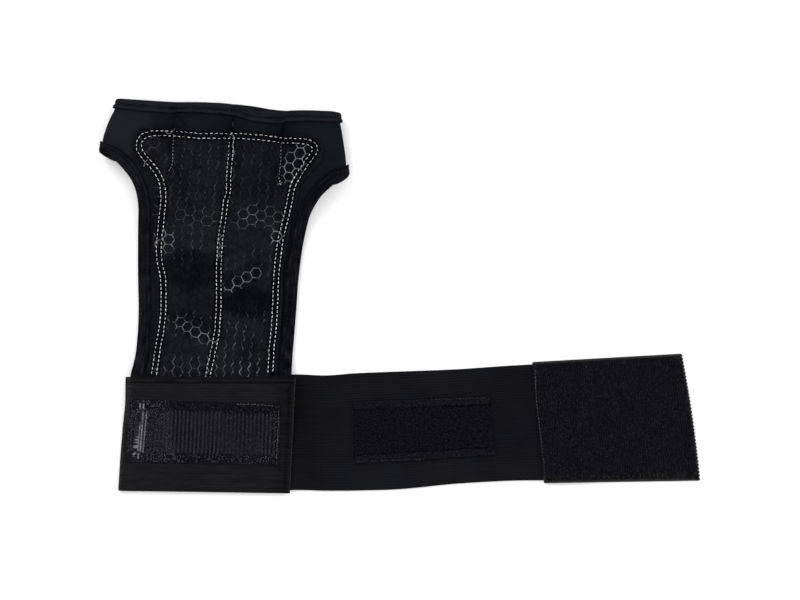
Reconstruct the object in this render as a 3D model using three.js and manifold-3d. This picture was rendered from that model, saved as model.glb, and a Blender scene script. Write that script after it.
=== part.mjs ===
// A fitness glove lying palm side up: a bound neoprene hand piece with four finger loops
// and a grip pad, sewn into the folded end of a wide elastic wrist wrap that fastens with
// hook and loop tape. Millimetres, +Z up, the underside of the glove on Z = 0.
import * as THREE from 'three';
import { mergeVertices } from 'three/addons/utils/BufferGeometryUtils.js';
import Module from 'manifold-3d';

const wasm = await Module();
wasm.setup();

// Cloth thicknesses, and the gap kept between two pieces that are sewn together
const neoprene = 1.8;
const padSheet = 1.0;
const tape = 1.0;
const elastic = 1.5;
const hookTape = 1.2;
const loopTape = 1.6;
const tabSheet = 1.6;
const gap = 0.3;
const cutHeight = 40;

// Edging tape folded round a raw edge: how far it stands out from it, how far it laps over
// it, its looseness, and half the thickness of a bound edge
const edgeReach = 1.85;
const mouthLap = 4.4;
const sideLap = 5.0;
const edgeSlack = 0.25;
const boundHalf = neoprene / 2 + gap + edgeSlack + tape;
const groundGap = 0.35;

// Finger band, top edge first: the two side folds, the level of the seams between the
// fingers, and the crown of the loops, all at the middle of the cloth
const bandRows = [
  { leftX: -155.6, leftY: 107.6, rightX: -34.9, rightY: 100.5, seam: 7.8, crown: 15.2 },
  { leftX: -157.8, leftY: 102.6, rightX: -33.9, rightY: 95.4, seam: 7.8, crown: 15.2 },
  { leftX: -160.4, leftY: 97.6, rightX: -33.0, rightY: 90.4, seam: 5.2, crown: 15.0 },
  { leftX: -162.6, leftY: 92.0, rightX: -32.0, rightY: 84.0, seam: 4.6, crown: 14.8 },
  { leftX: -164.1, leftY: 86.4, rightX: -31.0, rightY: 76.4, seam: 5.8, crown: 14.4 },
  { leftX: -164.8, leftY: 80.8, rightX: -30.4, rightY: 68.0, seam: 6.5, crown: 14.0 },
];
const lowerEdgeDip = { left: 2.2, right: 3.9 };

// Palm below the band, down to its end inside the wrist wrap: the raw edges of the cloth,
// and the same levels as the loops die away
const palmRows = [
  { leftX: -155.7, leftY: 75.6, rightX: -39.1, rightY: 62.2, seam: 6.5, crown: 13.7 },
  { leftX: -148.6, leftY: 67.3, rightX: -44.4, rightY: 57.3, seam: 5.8, crown: 12.8 },
  { leftX: -145.1, leftY: 59.8, rightX: -48.4, rightY: 51.7, seam: 4.2, crown: 10.6 },
  { leftX: -143.5, leftY: 50.1, rightX: -51.9, rightY: 44.7, seam: 2.8, crown: 7.4 },
  { leftX: -143.7, leftY: 38.0, rightX: -54.2, rightY: 35.9, seam: 1.8, crown: 4.4 },
  { leftX: -143.9, leftY: 24.0, rightX: -56.5, rightY: 24.0, seam: 1.3, crown: 2.4 },
  { leftX: -143.8, leftY: 8.0, rightX: -58.4, rightY: 8.0, seam: 1.1, crown: 1.2 },
  { leftX: -143.5, leftY: -6.0, rightX: -59.4, rightY: -6.0, seam: 1.1, crown: 1.1 },
  { leftX: -143.9, leftY: -19.0, rightX: -60.4, rightY: -19.0, seam: 1.1, crown: 1.1 },
  { leftX: -145.0, leftY: -31.0, rightX: -61.4, rightY: -31.0, seam: 1.3, crown: 1.3 },
  { leftX: -146.6, leftY: -39.0, rightX: -61.9, rightY: -39.0, seam: 2.4, crown: 2.4 },
  { leftX: -148.0, leftY: -45.0, rightX: -62.1, rightY: -45.0, seam: 3.2, crown: 3.2 },
  { leftX: -148.2, leftY: -58.0, rightX: -62.5, rightY: -58.0, seam: 3.2, crown: 3.2 },
];

// Where the three seams between the fingers cross the band, as shares of its width
const seamShares = [
  { top: 0.262, bottom: 0.278 },
  { top: 0.532, bottom: 0.514 },
  { top: 0.757, bottom: 0.728 },
];

const loopRoundness = 1.1;
const outerSpread = 0.85;

// Rise and sag of the two top edges against a straight line between the folds
const topBows = [
  { share: 0.0, front: 0.0, back: 0.0 },
  { share: 0.2, front: -0.1, back: -0.3 },
  { share: 0.4, front: 0.7, back: 0.4 },
  { share: 0.53, front: 0.6, back: 0.9 },
  { share: 0.62, front: -2.0, back: 0.3 },
  { share: 0.7, front: -2.4, back: -0.8 },
  { share: 0.8, front: -0.8, back: -1.0 },
  { share: 0.97, front: -0.1, back: -0.4 },
  { share: 1.0, front: -0.4, back: -0.4 },
];
const stripSag = 6.0;

// Low swells of the palm cloth
const palmSwells = [
  { x: -70, y: 28, wide: 14, long: 12, rise: 0.9 },
  { x: -112, y: 38, wide: 22, long: 9, rise: 0.8 },
  { x: -88, y: 6, wide: 20, long: 8, rise: 1.1 },
  { x: -122, y: -16, wide: 16, long: 10, rise: 1.0 },
  { x: -92, y: -30, wide: 22, long: 6, rise: 0.6 },
];

// Outline of the grip pad, top edge first
const padRows = [
  { leftX: -137.5, leftY: 94.0, rightX: -52.5, rightY: 89.3 },
  { leftX: -143.6, leftY: 92.6, rightX: -46.3, rightY: 87.6 },
  { leftX: -147.2, leftY: 89.0, rightX: -43.2, rightY: 83.6 },
  { leftX: -148.3, leftY: 83.2, rightX: -42.6, rightY: 79.0 },
  { leftX: -147.5, leftY: 79.0, rightX: -44.0, rightY: 74.6 },
  { leftX: -143.0, leftY: 72.6, rightX: -49.8, rightY: 67.6 },
  { leftX: -139.0, leftY: 68.3, rightX: -55.0, rightY: 60.0 },
  { leftX: -136.2, leftY: 63.0, rightX: -57.3, rightY: 51.5 },
  { leftX: -135.2, leftY: 54.0, rightX: -60.3, rightY: 43.4 },
  { leftX: -136.2, leftY: 43.0, rightX: -61.2, rightY: 36.8 },
  { leftX: -137.6, leftY: 27.0, rightX: -63.4, rightY: 26.0 },
  { leftX: -136.2, leftY: 12.0, rightX: -64.9, rightY: 12.0 },
  { leftX: -135.3, leftY: -3.0, rightX: -65.5, rightY: -3.0 },
  { leftX: -136.1, leftY: -17.0, rightX: -66.3, rightY: -17.0 },
  { leftX: -139.2, leftY: -34.0, rightX: -67.9, rightY: -34.0 },
  { leftX: -140.8, leftY: -44.0, rightX: -68.4, rightY: -44.0 },
  { leftX: -141.4, leftY: -51.0, rightX: -68.8, rightY: -51.0 },
];

// Wrist wrap: the side fold of its front flap from the top edge (0) to the lower edge (1),
// the flap's hem, the levels of the flap over the palm's end and below it, and the strap
const flapFold = [
  { down: 0.0, x: -151.8 },
  { down: 0.24, x: -152.1 },
  { down: 0.43, x: -153.4 },
  { down: 0.7, x: -154.8 },
  { down: 1.0, x: -156.0 },
];
const flapTop = { hemX: -57.9, hemY: -45.1, foldY: -44.8 };
const flapBottom = { hemX: -61.2, hemY: -109.6, foldY: -108.2 };
const hemWidth = 2.8;
const hemSheet = 2.2;
const strapLevel = elastic / 2;
const flapLow = elastic + gap + hemSheet / 2;
const flapHigh = 8.1;
const flapDrop = { from: 0.24, to: 0.55 };
const flapHollow = 0.7;
const strapStations = [
  { x: -153.0, top: -45.3, bottom: -108.4 },
  { x: -105.0, top: -44.9, bottom: -108.8 },
  { x: -57.0, top: -43.8, bottom: -107.8 },
  { x: -41.0, top: -44.3, bottom: -108.2 },
  { x: -25.0, top: -43.1, bottom: -108.1 },
  { x: 0.0, top: -42.1, bottom: -107.3 },
  { x: 31.0, top: -40.9, bottom: -104.3 },
  { x: 62.0, top: -38.8, bottom: -102.6 },
  { x: 82.0, top: -37.9, bottom: -102.4 },
  { x: 98.0, top: -37.8, bottom: -102.2 },
];

// Four-cornered tapes and tab, each corner [x, y]
const hookPatch = {
  top: [[-150.0, -57.3], [-66.3, -60.4]],
  bottom: [[-152.5, -92.1], [-67.6, -94.0]],
};
const loopPatch = {
  top: [[-25.9, -58.7], [49.8, -55.9]],
  bottom: [[-25.3, -93.2], [52.9, -88.4]],
};
const endTab = {
  top: [[73.5, -36.7], [156.7, -32.0]],
  bottom: [[80.1, -104.1], [166.9, -102.7]],
};
const tabSideBow = 0.9;
const tabDrop = { from: 99.0, to: 112.0 };

const finishes = {
  neoprene: new THREE.MeshStandardMaterial({ color: '#1b1c1f', roughness: 0.85, metalness: 0 }),
  gripPad: new THREE.MeshStandardMaterial({ color: '#131316', roughness: 0.5, metalness: 0 }),
  edging: new THREE.MeshStandardMaterial({ color: '#0e0e10', roughness: 0.8, metalness: 0 }),
  elastic: new THREE.MeshStandardMaterial({ color: '#18181a', roughness: 0.9, metalness: 0 }),
  hookTape: new THREE.MeshStandardMaterial({ color: '#15141a', roughness: 0.6, metalness: 0 }),
  loopTape: new THREE.MeshStandardMaterial({ color: '#121214', roughness: 1, metalness: 0 }),
};

const { lerp, clamp, smoothstep } = THREE.MathUtils;

// Places from one number to another, ends included
function steps(from, to, count) {
  return Array.from({ length: count + 1 }, (_, i) => lerp(from, to, i / count));
}

// A smooth reading of one named column of a table against another
function reader(table, keyName, valueName) {
  const keys = table.map((row) => row[keyName]);
  const values = table.map((row) => row[valueName]);
  const slopeAt = (i) => {
    const low = Math.max(i - 1, 0);
    const high = Math.min(i + 1, keys.length - 1);
    return (values[high] - values[low]) / (keys[high] - keys[low]);
  };
  return (key) => {
    let i = 0;
    while (i < keys.length - 2 && key > keys[i + 1]) i += 1;
    const span = keys[i + 1] - keys[i];
    const s = clamp((key - keys[i]) / span, 0, 1);
    const pull = (values[i + 1] - values[i]) * (3 - 2 * s) * s * s;
    const lean = span * s * (1 - s) * (slopeAt(i) * (1 - s) - slopeAt(i + 1) * s);
    return values[i] + pull + lean;
  };
}

// Every column of a section table as a smooth function of a place from 0 to 1
function sections(table) {
  const placed = table.map((row, i) => ({ ...row, place: i / (table.length - 1) }));
  const columns = Object.keys(table[0]);
  return Object.fromEntries(columns.map((name) => [name, reader(placed, 'place', name)]));
}

const band = sections(bandRows);
const frontBow = reader(topBows, 'share', 'front');
const backBow = reader(topBows, 'share', 'back');

// The share of a row's run that its turn round a side fold takes, at each end, and the rows
// at which the front cloth and the strip behind bend
const foldShare = 0.045;
const bandRowStops = [0, 0.1, 0.2, 0.32, 0.44, 0.6, 0.8, 1];
const stripRowStops = steps(0, 1, 6);

// Level of the strip behind the fingers, which hangs clear of the ground at its bound edges
function stripLevel(row) {
  const nearEdge = 1 - smoothstep(Math.min(row, 1 - row), 0.2, 0.42);
  return lerp(neoprene / 2, boundHalf + groundGap, nearEdge);
}

const foldRadius = (row) => (band.crown(row) - stripLevel(row)) / 2;

// A row of the finger band from fold to fold, both ends turned through a quarter circle:
// down from the front cloth (up = 1), or up from the strip behind (up = -1)
function bandPoint(across, row, up, level, bow) {
  const left = { x: band.leftX(row), y: band.leftY(row) };
  const right = { x: band.rightX(row), y: band.rightY(row) };
  const width = right.x - left.x;
  const radius = foldRadius(row);
  const fromEnd = Math.min(across, 1 - across);
  const inTurn = clamp(fromEnd / foldShare, 0, 1);
  const angle = lerp((gap * 0.8) / radius, Math.PI / 2, inTurn);
  const flatRun = clamp((fromEnd - foldShare) / (0.5 - foldShare), 0, 1);
  const inwards = inTurn < 1
    ? (radius * (1 - Math.cos(angle))) / width
    : lerp(radius / width, 0.5, flatRun);
  const share = across < 0.5 ? inwards : 1 - inwards;
  const dip = lerp(lowerEdgeDip.left, lowerEdgeDip.right, share) * inTurn * row ** 3;
  const x = lerp(left.x, right.x, share);
  const y = lerp(left.y, right.y, share) - dip + bow(share);
  return new THREE.Vector3(x, y, level(share) - up * radius * (1 - Math.sin(angle)));
}

// From 0 at a seam to 1 on the crown of a loop
function loopShape(share, row) {
  const seams = seamShares.map((seam) => lerp(seam.top, seam.bottom, clamp(row, 0, 1)));
  const stops = [0, ...seams, 1];
  const loop = clamp(stops.findIndex((stop) => share < stop) - 1, 0, 3);
  const across = (share - stops[loop]) / (stops[loop + 1] - stops[loop]);
  const fromSeam = [1 - across, across, across, across][share > seams[2] ? 3 : loop];
  const outer = loop === 0 || share > seams[2];
  const spread = outer ? Math.min(fromSeam * outerSpread, 0.5) : fromSeam;
  return Math.sin(Math.PI * clamp(spread, 0, 1)) ** loopRoundness;
}

function frontBandPoint(across, row) {
  const level = (share) => lerp(band.seam(row), band.crown(row), loopShape(share, row));
  return bandPoint(across, row, 1, level, (share) => frontBow(share) * (1 - row) ** 2);
}

function stripPoint(across, row) {
  const bow = (share) => {
    return backBow(share) * (1 - row) ** 2 - stripSag * 4 * share * (1 - share) * row ** 3;
  };
  return bandPoint(across, row, -1, () => stripLevel(row), bow);
}

// The palm's rows start from the lower corners of the band, just inside the side folds
const cornerLeft = frontBandPoint(foldShare, 1);
const cornerRight = frontBandPoint(1 - foldShare, 1);
const palmStart = {
  leftX: cornerLeft.x,
  leftY: cornerLeft.y,
  rightX: cornerRight.x,
  rightY: cornerRight.y,
  seam: band.seam(1),
  crown: band.crown(1),
};
const palm = sections([palmStart, ...palmRows]);
const cornerShare = (cornerLeft.x - band.leftX(1)) / (band.rightX(1) - band.leftX(1));

function swell(x, y) {
  let rise = 0;
  for (const bump of palmSwells) {
    const away = ((x - bump.x) / bump.wide) ** 2 + ((y - bump.y) / bump.long) ** 2;
    rise += bump.rise * Math.exp(-away);
  }
  return rise;
}

// Level of the palm cloth: the loops' shapes die away into low swells, and both bound
// edges stay high enough for the edging below them, on the ground and then on the wrap
function palmLevel(share, place, x, y, width) {
  const shape = loopShape(lerp(cornerShare, 1 - cornerShare, share), 1);
  const open = lerp(palm.seam(place), palm.crown(place), shape);
  const flat = open + swell(x, y) * smoothstep(place, 0.22, 0.4);
  const fromSide = Math.min(share, 1 - share) * width;
  const nearSide = 1 - smoothstep(fromSide, sideLap + 1, sideLap + 13);
  const bound = boundHalf + smoothstep(-y, 33, 42.5) * (elastic + gap);
  return lerp(flat, Math.max(flat, bound), nearSide);
}

function palmPoint(share, place) {
  const left = { x: palm.leftX(place), y: palm.leftY(place) };
  const right = { x: palm.rightX(place), y: palm.rightY(place) };
  const x = lerp(left.x, right.x, share);
  const y = lerp(left.y, right.y, share);
  return new THREE.Vector3(x, y, palmLevel(share, place, x, y, right.x - left.x));
}

// A point on the middle of the front cloth, row 0 to 1 down the band and 1 to 2 down the palm
function handPoint(across, row) {
  if (row <= 1) return frontBandPoint(across, row);
  return palmPoint((across - foldShare) / (1 - 2 * foldShare), row - 1);
}

// The side of the cloth that looks up, or outwards round a fold, from its own two directions
function facing(point, u, v) {
  const nudge = 1e-3;
  const across = point(u + nudge, v).sub(point(u - nudge, v));
  const along = point(u, v - nudge).sub(point(u, v + nudge));
  return across.cross(along).normalize();
}

// A closed sheet of cloth. A flat grid gives its columns and, from the top down, its rows;
// both faces stand off the middle by half the thickness, and walls close every edge of the
// cells that are kept
function sheetGeometry(uStops, vStops, point, thickness, isKept = () => true) {
  const columns = uStops.length - 1;
  const grid = new THREE.PlaneGeometry(1, 1, columns, vStops.length - 1);
  const count = grid.attributes.position.count;
  const places = [];
  for (const side of [0.5, -0.5]) {
    for (let i = 0; i < count; i += 1) {
      const u = uStops[i % (columns + 1)];
      const v = vStops[Math.floor(i / (columns + 1))];
      const offset = side * thickness(u, v);
      const moved = point(u, v).addScaledVector(facing(point, u, v), offset);
      places.push(moved.x, moved.y, moved.z);
    }
  }
  const triangles = [];
  const openEdges = new Map();
  for (let i = 0; i < grid.index.count; i += 3) {
    const [a, b, c] = grid.index.array.slice(i, i + 3);
    const cell = Math.floor(i / 6);
    if (!isKept(uStops[cell % columns], vStops[Math.floor(cell / columns)])) continue;
    triangles.push(a, b, c, c + count, b + count, a + count);
    for (const [from, to] of [[a, b], [b, c], [c, a]]) {
      if (!openEdges.delete(`${to} ${from}`)) openEdges.set(`${from} ${to}`, [from, to]);
    }
  }
  for (const [from, to] of openEdges.values()) {
    triangles.push(to, from, from + count, to, from + count, to + count);
  }
  const sheet = new THREE.BufferGeometry();
  sheet.setAttribute('position', new THREE.Float32BufferAttribute(places, 3));
  sheet.setIndex(triangles);
  return mergeVertices(sheet.toNonIndexed(), 1e-4);
}

// A closed geometry as a solid that can be cut, and back again
function solidOf(geometry) {
  const mesh = new wasm.Mesh({
    numProp: 3,
    vertProperties: new Float32Array(geometry.attributes.position.array),
    triVerts: new Uint32Array(geometry.index.array),
  });
  return new wasm.Manifold(mesh);
}

function geometryOf(solid) {
  const mesh = solid.getMesh();
  const geometry = new THREE.BufferGeometry();
  geometry.setAttribute('position', new THREE.BufferAttribute(mesh.vertProperties, 3));
  geometry.setIndex(new THREE.BufferAttribute(mesh.triVerts, 1));
  return geometry;
}

// A sheet cut to an outline in the plan by a tall straight block
function cutToOutline(sheet, outline) {
  const shape = new THREE.Shape(outline);
  const block = new THREE.ExtrudeGeometry(shape, { depth: cutHeight, bevelEnabled: false });
  block.deleteAttribute('normal');
  block.deleteAttribute('uv');
  return geometryOf(solidOf(sheet).intersect(solidOf(mergeVertices(block, 1e-4))));
}

// Edging tape: a sheet whose columns run over the front lap, round the raw edge and back
// along the other lap, and whose rows follow the edge. It has the cloth on the right of
// the edge's way, seen from the side that the edge's normal points to. The laps lie square
// to the edge, or along the cloth's own rows by the share that the edge asks for
function edgingGeometry(edge, stops, lap) {
  const level = boundHalf - tape / 2;
  const reach = edgeReach - tape / 2;
  const nudge = 0.004;
  const point = (u, v) => {
    const at = clamp(v, stops[0], stops[stops.length - 1]);
    const { place, normal, nextRow, alongRows } = edge(at);
    const ahead = edge(Math.min(at + nudge, stops[stops.length - 1])).place;
    const behind = edge(Math.max(at - nudge, stops[0])).place;
    const square = ahead.sub(behind).cross(normal).normalize();
    const rowWay = nextRow.sub(place).normalize();
    const inwards = square.clone().lerp(rowWay, alongRows).normalize();
    const angle = Math.PI * clamp((u - 1) / 1, 0, 1);
    const lapped = lap * (1 - Math.min(u, 1, 3 - u));
    place.addScaledVector(inwards, lapped).addScaledVector(square, -reach * Math.sin(angle));
    return place.addScaledVector(normal, level * Math.cos(angle));
  };
  const uStops = [0, 1, 1.33, 1.67, 2, 3];
  return sheetGeometry(uStops, stops, point, () => tape);
}

// The ring of the finger band's top edge: the front from left to right, then the strip back
function mouthEdge(v) {
  const inFront = v <= 1;
  const point = inFront ? frontBandPoint : stripPoint;
  const across = inFront ? v : 2 - v;
  const normal = facing(point, clamp(across, 0.001, 0.999), 0.001);
  const nextRow = point(across, inFront ? bandRowStops[1] : stripRowStops[1]);
  if (!inFront) normal.negate();
  return { place: point(across, 0), normal, nextRow, alongRows: 1 };
}

// The long lower edge: up the left of the palm (0 to 1), round the left fold, along the strip
// and round the right fold (1 to 2), and down the right of the palm (2 to 3)
const bandEdgeRun = 1 + 2 * foldShare;
const cornerTurns = 2;

function lowerEdge(v) {
  if (v < 1 || v > 2) {
    const across = v < 1 ? foldShare : 1 - foldShare;
    const row = v < 1 ? 2 - v : v - 1;
    const place = handPoint(across, row);
    return { place, normal: facing(handPoint, across, row), nextRow: place.clone(), alongRows: 0 };
  }
  const around = foldShare - (v - 1) * bandEdgeRun;
  const inFront = around >= 0 || around <= -1;
  const point = inFront ? frontBandPoint : stripPoint;
  const rowStops = inFront ? bandRowStops : stripRowStops;
  const across = inFront ? (around + 2) % 2 : -around;
  const normal = facing(point, clamp(across, 0.001, 0.999), 0.999);
  const fromCorner = foldShare - Math.min(across, 1 - across);
  return {
    place: point(across, 1),
    normal: inFront ? normal : normal.negate(),
    nextRow: point(across, rowStops[rowStops.length - 2]),
    alongRows: inFront ? clamp((cornerTurns * fromCorner) / foldShare, 0, 1) : 1,
  };
}

// The pad's outline, down its left side and up its right
function padOutline() {
  const pad = sections(padRows);
  const down = steps(0, 1, 2 * (padRows.length - 1));
  const left = down.map((place) => new THREE.Vector2(pad.leftX(place), pad.leftY(place)));
  const right = down.map((place) => new THREE.Vector2(pad.rightX(place), pad.rightY(place)));
  return [...left, ...right.reverse()];
}

// Level of the wrap's front flap, at a share of its width and a share down its height
function flapLevel(across, down) {
  const sag = flapHollow * Math.sin(Math.PI * clamp(across, 0, 1));
  const low = smoothstep(down, flapDrop.from, flapDrop.to);
  return lerp(flapHigh - sag, flapLow, low);
}

const foldX = reader(flapFold, 'down', 'x');
const strapTop = reader(strapStations, 'x', 'top');
const strapBottom = reader(strapStations, 'x', 'bottom');
const strapEnd = strapStations[strapStations.length - 1].x;

function flapPlan(across, down) {
  const hemX = lerp(flapTop.hemX, flapBottom.hemX, down);
  const top = lerp(flapTop.foldY, flapTop.hemY, across);
  const bottom = lerp(flapBottom.foldY, flapBottom.hemY, across);
  return { x: lerp(foldX(down), hemX, across), y: lerp(top, bottom, down) };
}

// The wrap's cloth from the flap's hem to its side fold (u from 0 to 1), round the fold
// (1 to 2), and along the strap to its end (2 to 3)
function wrapPoint(u, v) {
  const high = flapLevel(0, v);
  const radius = (high - strapLevel) / 2;
  const turned = foldX(v) + radius;
  if (u <= 1) {
    const across = 1 - u;
    const plan = flapPlan(across, v);
    const x = lerp(turned, lerp(flapTop.hemX, flapBottom.hemX, v), across);
    return new THREE.Vector3(x, plan.y, flapLevel(across, v));
  }
  const strapY = (x) => lerp(strapTop(x), strapBottom(x), v);
  if (u < 2) {
    const angle = Math.PI * (u - 1);
    const y = lerp(flapPlan(0, v).y, strapY(turned), u - 1);
    const x = turned - radius * Math.sin(angle);
    return new THREE.Vector3(x, y, strapLevel + radius * (1 + Math.cos(angle)));
  }
  const x = lerp(turned, strapEnd, u - 2);
  return new THREE.Vector3(x, strapY(x), strapLevel);
}

// A four-cornered sheet laid on what carries it
function patchGeometry(corners, columns, rows, thickness, level, sideBow = 0) {
  const point = (u, v) => {
    const [topLeft, topRight] = corners.top;
    const [bottomLeft, bottomRight] = corners.bottom;
    const x = lerp(lerp(topLeft[0], topRight[0], u), lerp(bottomLeft[0], bottomRight[0], u), v);
    const y = lerp(lerp(topLeft[1], topRight[1], u), lerp(bottomLeft[1], bottomRight[1], u), v);
    const bowed = x + sideBow * 4 * v * (1 - v) * u ** 4;
    return new THREE.Vector3(bowed, y, level(x, y));
  };
  return sheetGeometry(steps(0, 1, columns), steps(0, 1, rows), point, () => thickness);
}

function addPiece(name, geometry, finish) {
  const piece = new THREE.Mesh(geometry, finish);
  piece.name = name;
  glove.add(piece);
}

const glove = new THREE.Group();

// Stops across the band: round both folds, and closer together at the seams
const foldStops = steps(0, foldShare, 4);
const seamStops = [0.1, 0.16, 0.215, 0.268, 0.325, 0.385, 0.44, 0.495, 0.524, 0.58, 0.635, 0.69];
const innerStops = [...seamStops, 0.742, 0.8, 0.86, 0.91];
const farFold = foldStops.map((stop) => 1 - stop).reverse();
const bandStops = [...foldStops, ...innerStops, ...farFold];
const palmStops = [foldShare, ...innerStops, 1 - foldShare];
const palmRowStops = steps(1, 2, 16);

// The front cloth, or a layer at a lift above it. Only the band has the turned ends
function handLayer(lift, thickness, columns, rows) {
  const raised = (u, v) => handPoint(u, v).addScaledVector(facing(handPoint, u, v), lift);
  const isKept = (u, v) => v < 1 || (u >= foldShare && u < 1 - foldShare);
  return sheetGeometry(columns, rows, raised, () => thickness, isKept);
}

const handRowStops = [...bandRowStops, ...palmRowStops.slice(1)];
addPiece('palm_panel', handLayer(0, neoprene, bandStops, handRowStops), finishes.neoprene);

const padLift = neoprene / 2 + gap + padSheet / 2;
const padLayer = handLayer(padLift, padSheet, palmStops, handRowStops.slice(1));
addPiece('grip_pad', cutToOutline(padLayer, padOutline()), finishes.gripPad);

const stripStops = [...foldStops, 0.15, 0.27, 0.39, 0.5, 0.61, 0.73, 0.85, ...farFold];
const stripSheet = sheetGeometry(stripStops, stripRowStops, stripPoint, () => neoprene);
addPiece('finger_strip', stripSheet, finishes.neoprene);

const mouthStops = [...bandStops, ...stripStops.map((stop) => 2 - stop).reverse().slice(1)];
addPiece('mouth_binding', edgingGeometry(mouthEdge, mouthStops, mouthLap), finishes.edging);

const roundBand = [
  ...foldStops.map((stop) => stop - foldShare),
  ...stripStops.slice(1),
  ...foldStops.slice(1).map((stop) => 1 + stop),
];
const bandWay = roundBand.map((stop) => 1 + (stop + foldShare) / bandEdgeRun);
const lowerStops = [...steps(0, 1, 16), ...bandWay.slice(1), ...steps(2, 3, 16).slice(1)];
addPiece('side_binding', edgingGeometry(lowerEdge, lowerStops, sideLap), finishes.edging);

const hemShare = hemWidth / (flapTop.hemX - flapFold[0].x);
const wrapStops = [0, hemShare, ...steps(0.1, 1, 6), ...steps(1, 2, 5).slice(1), ...steps(2, 3, 16).slice(1)];
const wrapRows = [0, 0.12, 0.24, 0.34, 0.44, 0.55, 0.7, 0.85, 1];
const wrapThickness = (u) => (u <= hemShare ? hemSheet : elastic);
addPiece('wrist_wrap', sheetGeometry(wrapStops, wrapRows, wrapPoint, wrapThickness), finishes.elastic);

const hookLift = -(elastic / 2 + gap + hookTape / 2);
const onFlap = (u, v) => wrapPoint(u, v).addScaledVector(facing(wrapPoint, u, v), hookLift);
const hookLayer = sheetGeometry(steps(0.1, 1, 6), wrapRows, onFlap, () => hookTape);
const hookOutline = [...hookPatch.top, ...hookPatch.bottom.toReversed()];
const hookCorners = hookOutline.map(([x, y]) => new THREE.Vector2(x, y));
addPiece('hook_patch', cutToOutline(hookLayer, hookCorners), finishes.hookTape);

const onStrap = (thickness) => elastic + gap + thickness / 2;
addPiece('loop_patch', patchGeometry(loopPatch, 8, 4, loopTape, () => onStrap(loopTape)), finishes.loopTape);

const tabLevel = (x) => {
  const onGround = smoothstep(x, tabDrop.from, tabDrop.to);
  return lerp(onStrap(tabSheet), tabSheet / 2, onGround);
};
addPiece('end_tab', patchGeometry(endTab, 16, 6, tabSheet, tabLevel, tabSideBow), finishes.hookTape);

export default glove;
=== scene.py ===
import math
import random

import bmesh
import bpy
from mathutils import Matrix, Vector, kdtree, noise
from mathutils.bvhtree import BVHTree


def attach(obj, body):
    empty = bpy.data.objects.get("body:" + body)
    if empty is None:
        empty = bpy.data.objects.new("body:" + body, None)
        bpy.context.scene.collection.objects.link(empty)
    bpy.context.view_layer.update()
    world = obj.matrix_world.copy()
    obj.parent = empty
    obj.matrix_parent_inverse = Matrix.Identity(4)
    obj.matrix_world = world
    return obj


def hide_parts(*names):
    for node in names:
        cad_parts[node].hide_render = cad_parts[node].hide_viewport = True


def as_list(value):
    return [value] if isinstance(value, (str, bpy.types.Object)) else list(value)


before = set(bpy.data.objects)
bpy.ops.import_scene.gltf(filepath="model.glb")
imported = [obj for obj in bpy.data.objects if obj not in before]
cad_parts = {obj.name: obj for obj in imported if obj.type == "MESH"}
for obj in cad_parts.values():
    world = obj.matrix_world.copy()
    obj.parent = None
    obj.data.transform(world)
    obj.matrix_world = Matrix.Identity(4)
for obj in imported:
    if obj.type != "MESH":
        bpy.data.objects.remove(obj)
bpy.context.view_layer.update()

mm = 0.001


def addObject(name, data):
    made = bpy.data.objects.new(name, data)
    bpy.context.collection.objects.link(made)
    return made


def meshFrom(name, bm):
    mesh = bpy.data.meshes.new(name)
    bm.to_mesh(mesh)
    bm.free()
    return mesh


# camera, floor and light
studio = {
    "frameWidth": 0.4452,  # what the picture is wide, on the floor
    "centreY": -0.0022,
    "lens": 250.0,
    "sensor": 36.0,
    "farClip": 20,
    "floorSize": 6.0,
    "floorDrop": 0.0003,
    "floorColour": (0.93, 0.93, 0.93, 1),
    "skyStrength": 1.2,
    "lights": [  # name, place, size, power
        ("keyLight", (-0.9, 1.1, 1.7), 0.9, 14.0), ("fillLight", (1.3, 0.5, 1.2), 0.6, 7.0),
    ],
}


def softLight(name, place, size, power):
    light = bpy.data.lights.new(name, "AREA")
    light.size = size
    light.energy = power
    lamp = addObject(name, light)
    lamp.location = place
    lamp.rotation_euler = (-Vector(place)).to_track_quat("-Z", "Y").to_euler()


def buildStudio():
    scene = bpy.context.scene
    camera = bpy.data.cameras.new("overheadCamera")
    camera.lens = studio["lens"]
    camera.sensor_width = studio["sensor"]
    camera.clip_end = studio["farClip"]
    holder = addObject("overheadCamera", camera)
    height = studio["frameWidth"] * studio["lens"] / studio["sensor"]
    holder.location = (0, studio["centreY"], height)
    scene.camera = holder
    scene.view_settings.view_transform = "Standard"
    world = bpy.data.worlds.new("softSky")
    world.use_nodes = True
    sky = world.node_tree.nodes["Background"]
    sky.inputs["Color"].default_value = (1, 1, 1, 1)
    sky.inputs["Strength"].default_value = studio["skyStrength"]
    scene.world = world
    for light in studio["lights"]:
        softLight(*light)
    bm = bmesh.new()
    bmesh.ops.create_grid(bm, x_segments=1, y_segments=1, size=studio["floorSize"] / 2)
    bmesh.ops.translate(bm, verts=bm.verts, vec=(0, 0, -studio["floorDrop"]))
    floor = addObject("paleFloor", meshFrom("paleFloor", bm))
    paint = bpy.data.materials.new("floorPaint")
    paint.use_nodes = True
    coat = paint.node_tree.nodes["Principled BSDF"]
    coat.inputs["Base Color"].default_value = studio["floorColour"]
    coat.inputs["Roughness"].default_value = 0.9
    coat.inputs["Specular IOR Level"].default_value = 0.1
    floor.data.materials.append(paint)


buildStudio()
print("studio ready")


# small maths
def lerp(a, b, t):
    return a + (b - a) * t


def clamp(value, low=0.0, high=1.0):
    return max(low, min(high, value))


def smoothstep(value, low, high):
    t = clamp((value - low) / (high - low))
    return t * t * (3 - 2 * t)


def steps(start, end, count):
    return [lerp(start, end, i / count) for i in range(count + 1)]


# stops over spans that lie end to end, each given as start, end and count
def joined(*spans):
    return steps(*spans[0])[:1] + [stop for span in spans for stop in steps(*span)[1:]]


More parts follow.
